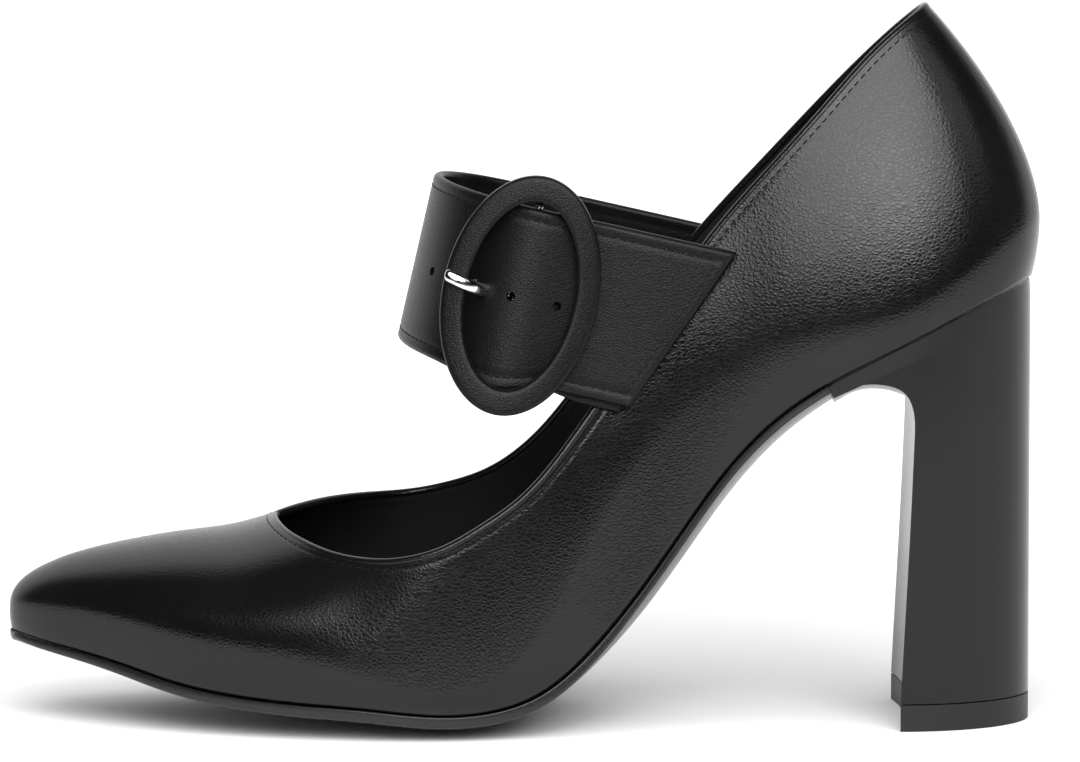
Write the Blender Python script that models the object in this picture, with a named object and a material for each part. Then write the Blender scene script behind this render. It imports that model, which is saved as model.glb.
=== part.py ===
"""A woman's left shoe: pointed leather pump on a tall block heel, with an instep strap and a covered buckle.

Sizes are in millimetres and are turned into metres as each mesh is written. The toe points along -X, the
outer (lateral) side of the foot is -Y, and the shoe stands on z = 0.
"""

import bmesh
import bpy
import numpy as np

# Driving dimensions
MM = 0.001
WELD = 0.01               # points closer than this are one
SHARP_ANGLE = np.radians(40.0)
GAP = 0.3                 # clearance between neighbouring pieces
WALL = 1.7                # leather and lining of the upper
SOLE_THICK = 2.6
SOLE_TOE_THIN = 1.0       # the sole is this much thinner at the toe tip, over this length
SOLE_TOE_LENGTH = 60.0
SOLE_PROUD = 0.3          # the sole's edge stands this far outside the upper's seam
SOLE_BEVEL = 0.9          # rounding of the sole's lower edge
SOLE_END_X = 68.3         # the sole butts against the lip of the heel here
INSOLE_THICK = 1.8
INSOLE_INSET = 2.5
INSOLE_BEVEL = 0.4
THROAT_X = -56.5          # front of the foot opening
THROAT_LENGTH = 16.5      # the opening's rounded front end
TOE_POLE_X, TOE_POLE_SOFT = -104.0, 6.0     # ribs gather on the ridge in front of here
HEEL_POLE_X, HEEL_POLE_SOFT = 62.0, 8.0     # and behind here
LOW_SHARE = 0.28          # share of a rib's points that lies below its bulge
CUT_STEPS = 721           # steps in which the topline's crossing is looked for
TOP_PIECE_THICK = 6.0
HEEL_FRONT_X, HEEL_BACK_X = 85.7, 115.9
HEEL_HALF_WIDTH = 22.0
HEEL_INSET = 0.4          # the heel seat stays this far inside the upper's seam
HEEL_SPREAD_Z = 100.0     # here the heel reaches the seat's outline
BREAST_HOLLOW = 2.0
ARCH_SAG = 3.2            # the arch hangs this much lower in its middle than at its two sides
ARCH_FROM_Z, ARCH_FULL_Z = 70.0, 85.0      # heights at the heel's back between which the breast becomes arch
STRAP_WIDTH, STRAP_THICK = 38.6, 2.2
STRAP_TILT = np.radians(12.9)
STRAP_NOSE = np.array([-23.75, 0.0, 105.8])
STRAP_FLARE = 0.0044      # the strap is this much wider per millimetre towards its lower edge
HOLE_RADIUS = 1.3
PRONG_SLOT_RADIUS = 1.9
PUNCH = 4.0               # how far a punch reaches on either side of the strap's middle
TAB_LOW, TAB_HIGH, TAB_THICK = -21.2, 16.5, 1.5
TAB_TAPER = 2.2           # the tab's lower edge rises this much towards the bar
TAB_SLOT = (12.0, 4.5)    # the prong's slot in the tab, in front of the bar and behind it
BAR_RADIUS = 1.0
BAR_BEND = 3.4            # length over which each end of the bar turns out to the ring
BAR_AT = (24.4, -25.0)    # along the strap and across the shoe
RING_OUTER = (17.4, 26.8)
RING_INNER = (12.2, 21.0)
RING_THICK = 3.2
RING_SQUARE = 0.7         # exponent of the ring's section, 1 for an ellipse
RING_BACK_Y, RING_BEND = -31.2, 0.006
PRONG_WIDTH, PRONG_THICK = 2.8, 1.6
PRONG_UP = -0.9           # the prong's place up the strap's width

# Seam between upper and sole, seen from above: toe tip, outer side, heel back, inner side
SEAM_OUTLINE = {
    "columns": ("x", "y"),
    "rows": (
        (-116.4, 3.0), (-112.4, -4.3), (-102.0, -12.0), (-85.0, -21.5), (-62.0, -30.0), (-38.0, -35.0),
        (-15.0, -35.4), (8.0, -31.0), (32.0, -25.0), (55.0, -22.6), (78.0, -24.0), (97.0, -21.8),
        (110.9, -13.1), (115.9, 0.0), (110.9, 13.1), (97.0, 21.8), (78.0, 22.6), (55.0, 19.0),
        (32.0, 18.6), (8.0, 24.2), (-15.0, 32.4), (-36.0, 35.6), (-60.0, 31.0), (-83.0, 23.4),
        (-101.0, 15.2), (-111.6, 9.6),
    ),
}

# Sections of the last along the shoe: seam height, hollow of the bottom between its edges, how far and how
# high the wall bulges on each side, and the two exponents of the section above the bulge
SECTIONS = {
    "columns": ("x", "seam_z", "crown", "bulge_out", "bulge_in", "bulge_h", "fullness", "roundness"),
    "rows": (
        (-116.0, 19.7, 0.5, 0.4, 0.4, 4.0, 2.7, 1.00),
        (-112.0, 18.9, 0.7, 0.7, 0.7, 6.0, 2.5, 1.15),
        (-102.0, 17.2, 1.2, 1.0, 1.0, 8.5, 2.2, 1.55),
        (-90.0, 14.7, 1.8, 1.3, 1.3, 10.0, 2.0, 1.90),
        (-78.0, 11.5, 2.3, 1.6, 1.6, 10.8, 2.0, 2.00),
        (-65.0, 9.3, 2.7, 1.9, 1.9, 11.0, 2.0, 2.00),
        (-50.0, 8.0, 3.5, 2.2, 2.2, 10.5, 2.0, 2.00),
        (-35.0, 7.1, 4.0, 2.4, 2.4, 10.9, 2.0, 2.00),
        (-18.6, 5.7, 4.2, 2.4, 2.6, 11.4, 2.0, 1.80),
        (-5.0, 6.7, 3.7, 2.2, 3.0, 13.0, 1.9, 1.60),
        (6.0, 10.9, 2.6, 1.5, 3.5, 19.0, 1.8, 1.40),
        (18.0, 21.6, 3.0, 0.1, 3.8, 26.0, 1.75, 1.20),
        (32.0, 39.4, 3.4, 0.0, 3.4, 28.0, 1.7, 1.10),
        (45.0, 57.6, 3.4, 1.0, 2.8, 22.0, 1.62, 1.00),
        (58.0, 71.2, 3.0, 2.0, 2.4, 17.0, 1.50, 1.00),
        (72.0, 80.6, 2.4, 1.8, 2.0, 12.0, 1.44, 1.00),
        (90.0, 89.9, 1.2, 1.2, 1.3, 8.5, 1.42, 1.00),
        (104.0, 96.8, 0.6, 1.3, 1.4, 10.5, 1.50, 1.05),
        (115.0, 101.3, 0.6, 1.7, 1.7, 13.0, 1.65, 1.12),
    ),
}

# Ridge of the last: the top of the vamp, then the instep and leg that the open part would close on
RIDGE = {
    "columns": ("x", "y", "z"),
    "rows": (
        (-104.0, 3.6, 36.6), (-98.0, 4.0, 38.7), (-87.0, 5.0, 41.2), (-77.0, 5.5, 42.6), (-66.0, 6.0, 43.8),
        (-57.0, 6.0, 45.7), (-50.0, 6.0, 48.3), (-42.0, 5.5, 52.9), (-33.0, 5.0, 60.3), (-23.0, 4.0, 72.6),
        (-10.0, 3.0, 92.5), (10.0, 2.0, 127.0), (35.0, 1.0, 166.0), (62.0, 0.0, 188.0),
    ),
}

# Edge of the foot opening, height on the outer and the inner side
TOPLINE = {
    "columns": ("x", "out_z", "in_z"),
    "rows": (
        (-56.5, 45.6, 45.6), (-53.0, 44.3, 46.6), (-50.0, 43.3, 47.0), (-43.0, 41.4, 47.3),
        (-36.0, 40.5, 47.0), (-29.0, 40.6, 46.8), (-22.5, 41.7, 47.4), (-16.0, 43.9, 48.9),
        (-8.0, 48.4, 51.9), (0.0, 53.9, 57.3), (6.6, 60.5, 64.0), (13.4, 69.3, 72.9),
        (28.0, 90.5, 92.8), (42.5, 111.5, 111.3), (55.0, 126.0, 125.2), (68.0, 140.3, 139.2),
        (80.0, 153.3, 151.6), (92.5, 163.2, 163.2),
    ),
}

# Front of the heel from its foot up the breast, round the arch and along the lip, with the height that the
# back of the same level has
HEEL_FRONT = {
    "columns": ("x", "z", "back_z"),
    "rows": (
        (85.7, 6.3, 6.3), (86.7, 27.0, 27.0), (87.7, 48.0, 48.0), (88.4, 66.0, 66.0), (88.3, 72.0, 74.0),
        (87.0, 76.0, 80.0), (84.4, 78.2, 85.0), (80.5, 79.1, 89.0), (75.5, 78.7, 93.0), (70.6, 75.8, 97.0),
    ),
}
HEEL_LIP_X = 68.9

# Middle of the strap's thickness in its own plane, from the inner quarter round the instep to the free end
STRAP_PATH = {
    "columns": ("along", "across"),
    "rows": (
        (74.0, 24.2), (62.0, 24.5), (50.0, 24.3), (36.0, 23.8), (22.0, 23.0), (11.0, 20.2), (4.2, 13.4),
        (1.1, 1.5), (2.6, -9.5), (6.4, -18.0), (11.4, -24.0), (17.4, -28.0), (24.4, -29.8), (32.0, -28.9),
        (40.0, -27.7), (50.0, -27.4), (62.0, -27.0), (74.0, -26.2),
    ),
}
STRAP_START, STRAP_START_SLANT = 60.0, 0.30
STRAP_END, STRAP_END_SLANT = 61.7, 0.406
TAB_END = 52.0
STRAP_HOLES = (5.2, 22.6, 32.7)
PRONG_SLOT = (13.0, 20.2)

# The prong: bent round the bar, up through the strap and over the ring, as places along and across
PRONG_PATH = {
    "columns": ("along", "across"),
    "rows": (
        (20.4, -26.1), (18.5, -27.1), (15.8, -30.0), (13.4, -32.9), (11.8, -34.4), (9.4, -34.7), (6.9, -34.3),
    ),
}


def spline(knots, values, at):
    """Natural cubic spline through (knots, values), read at the places at, held level past its ends."""
    knots = np.asarray(knots, float)
    values = np.asarray(values, float)
    count = len(knots)
    step = np.diff(knots)
    matrix = np.eye(count)
    right = np.zeros(count)
    for i in range(1, count - 1):
        matrix[i, i - 1:i + 2] = step[i - 1], 2.0 * (step[i - 1] + step[i]), step[i]
        right[i] = 6.0 * ((values[i + 1] - values[i]) / step[i] - (values[i] - values[i - 1]) / step[i - 1])
    bend = np.linalg.solve(matrix, right)
    at = np.clip(np.asarray(at, float), knots[0], knots[-1])
    i = np.clip(np.searchsorted(knots, at) - 1, 0, count - 2)
    a = (knots[i + 1] - at) / step[i]
    b = (at - knots[i]) / step[i]
    curve = ((a ** 3 - a) * bend[i] + (b ** 3 - b) * bend[i + 1]) * step[i] ** 2 / 6.0
    return a * values[i] + b * values[i + 1] + curve


def read(table, column, x):
    """One column of a table at x, smoothly between its rows."""
    rows = np.array(table["rows"])
    return spline(rows[:, 0], rows[:, table["columns"].index(column)], x)


def path_through(points, count):
    """Points at even steps of length along a smooth curve through the given ones."""
    points = np.asarray(points, float)
    chord = np.concatenate([[0.0], np.cumsum(np.linalg.norm(np.diff(points, axis=0), axis=1))])
    fine = np.linspace(0.0, chord[-1], 40 * len(points))
    dense = np.stack([spline(chord, points[:, k], fine) for k in range(points.shape[1])], axis=1)
    length = np.concatenate([[0.0], np.cumsum(np.linalg.norm(np.diff(dense, axis=0), axis=1))])
    even = np.linspace(0.0, length[-1], count)
    return np.stack([np.interp(even, length, dense[:, k]) for k in range(points.shape[1])], axis=1)


def seam_sides():
    """The seam's outline as two dense curves from toe tip to heel back: outer side and inner side."""
    rows = np.array(SEAM_OUTLINE["rows"])
    closed = np.concatenate([rows[-4:], rows, rows[:5]])
    chord = np.concatenate([[0.0], np.cumsum(np.linalg.norm(np.diff(closed, axis=0), axis=1))])
    at = np.linspace(chord[4], chord[4 + len(rows)], 4001)
    loop = np.stack([spline(chord, closed[:, k], at) for k in range(2)], axis=1)[:-1]
    loop = np.roll(loop, -np.argmin(loop[:, 0]), axis=0)
    back = np.argmax(loop[:, 0])
    outer = loop[:back + 1]
    inner = np.concatenate([loop[back:], loop[:1]])[::-1]
    return outer, inner


OUTER_SEAM, INNER_SEAM = seam_sides()
TOE_X = OUTER_SEAM[0, 0]
BACK_X = OUTER_SEAM[-1, 0]


def seam_y(x, inner):
    """Where the seam crosses the section at x, on the inner or the outer side."""
    side = INNER_SEAM if inner else OUTER_SEAM
    return np.interp(x, side[:, 0], side[:, 1])


def stations(toe_count, throat_count, rest_count):
    """Places along the shoe, closer at the toe tip, round the throat and at the heel's back."""
    throat_end = THROAT_X + THROAT_LENGTH
    toe = TOE_X + (THROAT_X - TOE_X) * (0.5 - 0.5 * np.cos(np.linspace(0.0, np.pi, toe_count + 1)))
    throat = THROAT_X + (throat_end - THROAT_X) * (np.arange(1, throat_count + 1) / throat_count) ** 2
    rest = throat_end + (BACK_X - throat_end) * np.sin(np.linspace(0.0, np.pi / 2, rest_count + 1))
    return np.concatenate([toe, throat, rest[1:]])


def softplus(t):
    """A ramp with a soft foot."""
    return np.log1p(np.exp(t))


def last_ribs(x, inner, levels):
    """Outer surface of the upper as ribs[station, level, xyz].

    Each rib stands in the upright plane from the seam towards the ridge. It swells to its bulge, then
    closes on the ridge as a superellipse, and where the shoe is open the topline cuts it off.
    """
    seam = np.stack([x, seam_y(x, inner)], axis=1)
    ridge_x = x + TOE_POLE_SOFT * softplus((TOE_POLE_X - x) / TOE_POLE_SOFT)
    ridge_x = ridge_x - HEEL_POLE_SOFT * softplus((x - HEEL_POLE_X) / HEEL_POLE_SOFT)
    foot = np.stack([ridge_x, read(RIDGE, "y", ridge_x)], axis=1)
    reach = np.linalg.norm(seam - foot, axis=1)
    outward = (seam - foot) / reach[:, None]
    seam_z = read(SECTIONS, "seam_z", x)
    slope = np.gradient(seam_z, x)
    base_z = seam_z + GAP * np.sqrt(1.0 + slope ** 2)
    bulge = read(SECTIONS, "bulge_in" if inner else "bulge_out", x)
    bulge_h = read(SECTIONS, "bulge_h", x)
    fullness = read(SECTIONS, "fullness", x)
    roundness = read(SECTIONS, "roundness", x)
    rise = read(RIDGE, "z", ridge_x) - base_z - bulge_h
    edge = "in_z" if inner else "out_z"

    def above_bulge(turn):
        height = bulge_h[:, None] + rise[:, None] * np.sin(turn) ** (2.0 / fullness[:, None])
        radius = (reach + bulge)[:, None] * np.cos(turn) ** (2.0 / roundness[:, None])
        return height, radius

    sweep = np.linspace(0.0, np.pi / 2, CUT_STEPS)[None, :]
    height, radius = above_bulge(sweep)
    over = base_z[:, None] + height - read(TOPLINE, edge, foot[:, :1] + radius * outward[:, :1])
    first = np.argmax(over >= 0.0, axis=1)
    index = np.arange(len(x))
    before, after = over[index, first - 1], over[index, first]
    cut = sweep[0, first - 1] + (sweep[0, 1] - sweep[0, 0]) * before / (before - after)
    turn_end = np.where(x <= THROAT_X, np.pi / 2, cut)

    low_count = max(3, round(LOW_SHARE * levels))
    low = np.linspace(0.0, 1.0, low_count + 1)[None, :]
    low_height = bulge_h[:, None] * low
    low_radius = reach[:, None] + bulge[:, None] * (1.0 - (1.0 - low) ** 2)
    turn = turn_end[:, None] * np.linspace(0.0, 1.0, levels - low_count + 1)[None, 1:]
    turn = np.minimum(turn, np.pi / 2)
    height, radius = above_bulge(turn)
    height = np.concatenate([low_height, height], axis=1)
    radius = np.concatenate([low_radius, np.where(turn >= np.pi / 2 - 1e-9, 0.0, radius)], axis=1)
    ribs = np.empty(height.shape + (3,))
    ribs[:, :, :2] = foot[:, None, :] + radius[:, :, None] * outward[:, None, :]
    ribs[:, :, 2] = base_z[:, None] + height
    return ribs


def bottom_z(x, y):
    """Height of the bottom of the last: the seam's height, hollowed downwards between the two edges."""
    half = np.where(y < 0.0, -seam_y(x, False), seam_y(x, True))
    share = np.clip(np.abs(y) / np.maximum(half, 0.5), 0.0, 1.0)
    return read(SECTIONS, "seam_z", x) - read(SECTIONS, "crown", x) * (1.0 - share ** 2)


def bottom_slope(x):
    """Unit normal of the bottom's long profile, as its parts along x and z."""
    slope = (read(SECTIONS, "seam_z", x + 0.5) - read(SECTIONS, "seam_z", x - 0.5))
    size = np.sqrt(1.0 + slope ** 2)
    return -slope / size, 1.0 / size


def outline_row(x, grow):
    """Outer and inner edge of the seam's outline moved outwards by grow, as points at the stations x."""
    edges = []
    for inner in (False, True):
        side = INNER_SEAM if inner else OUTER_SEAM
        along = np.gradient(side, axis=0)
        along = along / np.linalg.norm(along, axis=1)[:, None]
        along[0] = (0.0, 1.0 if inner else -1.0)
        along[-1] = (0.0, -1.0 if inner else 1.0)
        away = np.stack([along[:, 1], -along[:, 0]], axis=1)
        moved = side + (-grow if inner else grow) * away
        edges.append(np.interp(x, moved[:, 0], moved[:, 1]))
    return edges


def plate_rows(x, grow, across):
    """A grid over the seam's outline: points[station, across, xy], from the outer edge to the inner one."""
    outer, inner = outline_row(x, grow)
    share = 0.5 - 0.5 * np.cos(np.linspace(0.0, np.pi, across))
    y = outer[:, None] + (inner - outer)[:, None] * share[None, :]
    return np.stack([np.repeat(x[:, None], across, axis=1), y], axis=2)


def grid_quads(rows, columns, start):
    """Faces of a grid of points numbered row by row from start."""
    quads = []
    for i in range(rows - 1):
        for j in range(columns - 1):
            a = start + i * columns + j
            quads.append((a, a + 1, a + columns + 1, a + columns))
    return quads


def make_material(name, colour, roughness, metallic=0.0):
    material = bpy.data.materials.new(name)
    material.use_nodes = True
    shader = material.node_tree.nodes["Principled BSDF"]
    shader.inputs["Base Color"].default_value = (*colour, 1.0)
    shader.inputs["Roughness"].default_value = roughness
    shader.inputs["Metallic"].default_value = metallic
    return material


def make_object(name, patches, material, closed=True):
    """One object from patches, each a grid of points in millimetres, welded where they meet."""
    vertices = []
    faces = []
    for grid in patches:
        rows, columns = grid.shape[:2]
        faces += grid_quads(rows, columns, len(vertices))
        vertices += [tuple(p) for p in grid.reshape(-1, 3) * MM]
    mesh = bpy.data.meshes.new(name)
    mesh.from_pydata(vertices, [], faces)
    bm = bmesh.new()
    bm.from_mesh(mesh)
    bmesh.ops.remove_doubles(bm, verts=bm.verts, dist=WELD * MM)
    bmesh.ops.dissolve_degenerate(bm, edges=bm.edges, dist=0.1 * WELD * MM)
    if closed:
        bmesh.ops.recalc_face_normals(bm, faces=bm.faces)
    bm.to_mesh(mesh)
    bm.free()
    mesh.materials.append(material)
    mesh.shade_smooth()
    mesh.set_sharp_from_angle(angle=SHARP_ANGLE)
    obj = bpy.data.objects.new(name, mesh)
    bpy.context.collection.objects.link(obj)
    return obj


def strap_to_shoe(points):
    """From the strap's plane (along, up its width, across the shoe) to the shoe, with the strap's flare."""
    along, up, across = points[..., 0], points[..., 1], points[..., 2]
    x = STRAP_NOSE[0] + along * np.cos(STRAP_TILT) + up * np.sin(STRAP_TILT)
    z = STRAP_NOSE[2] - along * np.sin(STRAP_TILT) + up * np.cos(STRAP_TILT)
    y = STRAP_NOSE[1] + across * (1.0 - STRAP_FLARE * up)
    return np.stack([x, y, z], axis=-1)


def cutter(obj, patches):
    """Cut patches of a closed shape out of obj with a Boolean."""
    tool = make_object(obj.name + "_cutter", patches, obj.data.materials[0])
    tool.hide_render = True
    tool.display_type = "WIRE"
    cut = obj.modifiers.new("cut", "BOOLEAN")
    cut.operation = "DIFFERENCE"
    cut.object = tool


def make_upper(material):
    """Vamp and quarters: the last's ribs on both sides, given the wall's thickness inwards."""
    x = stations(16, 6, 32)
    outer = last_ribs(x, False, 11)
    inner = last_ribs(x, True, 11)
    around = np.concatenate([inner, outer[-2::-1]], axis=0)
    upper = make_object("upper", [around], material, closed=False)
    wall = upper.modifiers.new("wall", "SOLIDIFY")
    wall.thickness = WALL * MM
    wall.offset = -1.0
    wall.use_even_offset = True
    return upper


def make_plate(name, x, grow, across, top_lift, thick, bevel, material, floor=None):
    """A plate that follows the bottom of the last: its top lies top_lift above it, measured squarely.

    thick may differ from station to station.
    """
    thick = np.broadcast_to(thick, x.shape)[:, None]

    def laid(rows, lift):
        flat_x, flat_y = rows[..., 0], rows[..., 1]
        nx, nz = bottom_slope(flat_x)
        points = np.stack([flat_x + lift * nx, flat_y, bottom_z(flat_x, flat_y) + lift * nz], axis=2)
        if floor is not None:
            points[..., 2] = np.maximum(points[..., 2], floor)
        return points

    top = laid(plate_rows(x, grow, across), top_lift)
    under = laid(plate_rows(x, grow - bevel, across), top_lift - thick)
    waist = laid(plate_rows(x, grow, across), top_lift - thick + bevel)
    sides = []
    for edge in (0, -1):
        sides.append(np.stack([top[:, edge], waist[:, edge], under[:, edge]], axis=1))
    end = np.stack([top[-1], waist[-1], under[-1]], axis=0)
    front = np.stack([top[0], waist[0], under[0]], axis=0)
    return make_object(name, [top, under, end, front] + sides, material)


def make_outsole(material):
    x = stations(16, 6, 32)
    x = np.append(x[x < SOLE_END_X - 2.0], SOLE_END_X)
    toe_share = np.clip(1.0 - (x - TOE_X) / SOLE_TOE_LENGTH, 0.0, 1.0)
    thick = SOLE_THICK - SOLE_TOE_THIN * toe_share ** 1.5
    return make_plate("outsole", x, SOLE_PROUD, 9, 0.0, thick, SOLE_BEVEL, material, floor=0.0)


def make_insole(material):
    x = stations(16, 6, 32)
    ends = (TOE_X + INSOLE_INSET, BACK_X - INSOLE_INSET)
    middle = x[(x > ends[0] + INSOLE_BEVEL) & (x < ends[1] - INSOLE_BEVEL)]
    x = np.concatenate([ends[:1], middle, ends[1:]])
    lift = GAP + INSOLE_THICK
    return make_plate("insole", x, -INSOLE_INSET, 7, lift, INSOLE_THICK, INSOLE_BEVEL, material)


def heel_levels():
    """Levels of the heel from its foot to the lip: front point, back point, share of the seat's shape, sag."""
    rows = np.array(HEEL_FRONT["rows"])
    front = rows[:, :2]
    back_x = np.interp(rows[:, 2], (rows[0, 2], rows[-1, 2]), (HEEL_BACK_X, BACK_X - 0.5 * HEEL_INSET))
    back = np.stack([back_x, rows[:, 2]], axis=1)
    share = np.clip((rows[:, 2] - rows[0, 2]) / (HEEL_SPREAD_Z - rows[0, 2]), 0.0, 1.0) ** 1.5
    sag = ARCH_SAG * np.clip((rows[:, 2] - ARCH_FROM_Z) / (ARCH_FULL_Z - ARCH_FROM_Z), 0.0, 1.0)
    return front, back, share, sag


def heel_half_width(share, xi, inner):
    """Half width at the place xi (0 front, 1 back): from a half ellipse at the foot to the seat's outline."""
    foot = HEEL_HALF_WIDTH * np.sqrt(np.maximum(0.0, 1.0 - xi ** 2))
    x = HEEL_LIP_X + xi * (BACK_X - HEEL_INSET - HEEL_LIP_X)
    edges = outline_row(x, -HEEL_INSET)
    seat = np.abs(edges[1 if inner else 0])
    seat = np.where(xi >= 1.0, 0.0, seat)
    return (1.0 - share) * foot + share * seat


def heel_shape(level_front, level_back, level_share, across_count, xi, sag=0.0):
    """One level of the heel as points[along, across]: front to back, outer edge to inner edge."""
    x = level_front[0] + xi * (level_back[0] - level_front[0])
    outer = -heel_half_width(level_share, xi, False)
    inner = heel_half_width(level_share, xi, True)
    share = np.linspace(0.0, 1.0, across_count)
    y = outer[:, None] + (inner - outer)[:, None] * share[None, :]
    dip = 1.0 - (2.0 * share[None, :] - 1.0) ** 2
    hollow = BREAST_HOLLOW * (1.0 - level_share) * (1.0 - xi[:, None]) * dip
    z = level_front[1] + xi * (level_back[1] - level_front[1])
    grid = np.empty(y.shape + (3,))
    grid[..., 0] = x[:, None] + hollow
    grid[..., 1] = y
    grid[..., 2] = z[:, None] - sag * (1.0 - xi[:, None]) * dip
    return grid


def make_heel_block(material):
    """Covered block: walls between the front profile and the back, seat on top, flat foot."""
    xi = np.sin(np.linspace(0.0, np.pi / 2, 11))
    front, back, share, sag = heel_levels()
    levels = [heel_shape(front[k], back[k], share[k], 7, xi, sag[k]) for k in range(len(front))]
    seat = heel_shape((HEEL_LIP_X, 0.0), (BACK_X - HEEL_INSET, 0.0), 1.0, 7, xi)
    seat[..., 2] = bottom_z(seat[..., 0], seat[..., 1]) - GAP
    levels = np.stack(levels + [seat], axis=0)
    patches = [levels[:, :, 0], levels[:, :, -1], levels[:, 0, :], levels[0], levels[-1]]
    return make_object("heel_block", patches, material)


def make_heel_top_piece(material):
    """Rubber wearing piece, as wide as the foot of the heel."""
    xi = np.sin(np.linspace(0.0, np.pi / 2, 13))
    levels = []
    for z in (0.0, TOP_PIECE_THICK):
        levels.append(heel_shape((HEEL_FRONT_X, z), (HEEL_BACK_X, z), 0.0, 7, xi))
    levels = np.stack(levels, axis=0)
    patches = [levels[:, :, 0], levels[:, :, -1], levels[:, 0, :], levels[0], levels[1]]
    return make_object("heel_top_piece", patches, material)


def strap_line():
    """The strap's middle line, dense and even in length."""
    return path_through(STRAP_PATH["rows"], 4000)


def run_to(line, lateral, along):
    """Index of the place on one of the strap's two runs that lies this far along."""
    half = np.argmin(line[:, 0])
    part = np.arange(half, len(line)) if lateral else np.arange(0, half + 1)
    return part[np.argmin(np.abs(line[part, 0] - along))]


def band_between(low_path, high_path, thick, low, high):
    """Patches of a band of even thickness whose lower and upper edge follow a path each."""
    corners = []
    for path, up, offset in (
            (low_path, low, 0.5), (high_path, high, 0.5), (high_path, high, -0.5), (low_path, low, -0.5)):
        along = np.gradient(path, axis=0)
        along = along / np.linalg.norm(along, axis=1)[:, None]
        edge = path + offset * thick * np.stack([-along[:, 1], along[:, 0]], axis=1)
        corners.append(np.column_stack([edge[:, 0], np.broadcast_to(up, len(path)), edge[:, 1]]))
    loop = np.stack(corners + corners[:1], axis=1)
    caps = [np.stack([loop[k, :2], loop[k, 3:1:-1]], axis=0) for k in (0, -1)]
    return [strap_to_shoe(p) for p in [loop] + caps]


def make_strap(material):
    """Long strap: one band with a slanted free end, punched holes and a slot for the prong."""
    line = strap_line()
    half = 0.5 * STRAP_WIDTH
    edges = []
    for up in (-half, half):
        first = run_to(line, False, STRAP_START + STRAP_START_SLANT * up)
        last = run_to(line, True, STRAP_END + STRAP_END_SLANT * up)
        edges.append(line[np.linspace(first, last, 72).astype(int)])
    strap = make_object("strap", band_between(*edges, STRAP_THICK, -half, half), material)
    for hole in STRAP_HOLES:
        cutter(strap, punch(line, hole, hole, HOLE_RADIUS))
    cutter(strap, punch(line, *PRONG_SLOT, PRONG_SLOT_RADIUS))
    return strap


def punch(line, begin, end, radius):
    """A punch square to the outer run of the strap, long enough for a slot between begin and end."""
    middle = run_to(line, True, 0.5 * (begin + end))
    along = np.gradient(line, axis=0)[middle]
    along = along / np.linalg.norm(along)
    side = np.array([-along[1], along[0]])
    turn = np.linspace(0.0, 2.0 * np.pi, 13)
    stretch = max(0.5 * (end - begin) - radius, 0.0)
    long_way = radius * np.cos(turn) + stretch * np.sign(np.round(np.cos(turn), 6))
    rings = []
    for reach, size in ((-PUNCH, 0.0), (-PUNCH, 1.0), (PUNCH, 1.0), (PUNCH, 0.0)):
        place = line[middle] + reach * side + size * long_way[:, None] * along
        rings.append(np.column_stack([place[:, 0], PRONG_UP + size * radius * np.sin(turn), place[:, 1]]))
    return [strap_to_shoe(np.stack(rings, axis=0))]


def bent_round_bar(reach, first, last, count):
    """Places on an arc round the buckle's bar, reach from its middle, between two angles in degrees."""
    turn = np.radians(np.linspace(first, last, count))
    return np.stack([BAR_AT[0] + reach * np.cos(turn), BAR_AT[1] + reach * np.sin(turn)], axis=1)


def make_buckle_tab(material):
    """Short strap sewn on the outer quarter, turned round the bar, with a slot where the prong sits."""
    line = strap_line()
    below = 0.5 * (STRAP_THICK + TAB_THICK) + GAP
    reach = BAR_RADIUS + GAP + 0.5 * TAB_THICK
    runs = [(TAB_END, 0.1), (47.0, 0.1), (42.0, 0.2)]
    runs += [(35.0, 0.5), (31.0, 0.8), (27.5, 0.7)]
    outside = [(along, line[run_to(line, True, along)][1] + below + spare) for along, spare in runs]
    turned = bent_round_bar(reach, 265.0, 95.0, 11)
    inside = [(along, BAR_AT[1] + reach + drop) for along, drop in ((27.5, -0.1), (31.0, -0.3), (36.0, 0.0))]
    path = path_through(np.concatenate([outside, turned, inside]), 46)
    low = np.interp(path[:, 0], (30.0, 42.0), (TAB_LOW + TAB_TAPER, TAB_LOW))
    tab = make_object("buckle_tab", band_between(path, path, TAB_THICK, low, TAB_HIGH), material)
    slot = np.array(((BAR_AT[0] - TAB_SLOT[0], BAR_AT[1]), (BAR_AT[0] + TAB_SLOT[1], BAR_AT[1])))
    slot_half = 0.5 * PRONG_WIDTH + 0.8
    cutter(tab, band_between(slot, slot, TAB_SLOT[0], PRONG_UP - slot_half, PRONG_UP + slot_half))
    return tab


def make_buckle_frame(material):
    """Covered oval ring, a rounded band of even thickness, bent a little round the foot."""
    turn = np.linspace(0.0, 2.0 * np.pi, 45)
    section = np.linspace(0.0, 2.0 * np.pi, 11)
    wide = np.sign(np.cos(section)) * np.abs(np.cos(section)) ** RING_SQUARE
    deep = np.sign(np.sin(section)) * np.abs(np.sin(section)) ** RING_SQUARE
    mid = 0.5 * (np.array(RING_OUTER) + np.array(RING_INNER))
    half = 0.5 * (np.array(RING_OUTER) - np.array(RING_INNER))
    along = np.cos(turn)[:, None] * (mid[0] + half[0] * wide[None, :])
    up = np.sin(turn)[:, None] * (mid[1] + half[1] * wide[None, :])
    across = RING_BACK_Y - 0.5 * RING_THICK * (1.0 - deep[None, :]) + RING_BEND * along ** 2
    grid = np.stack([BAR_AT[0] + along, up, across], axis=2)
    return make_object("buckle_frame", [strap_to_shoe(grid)], material)


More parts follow.
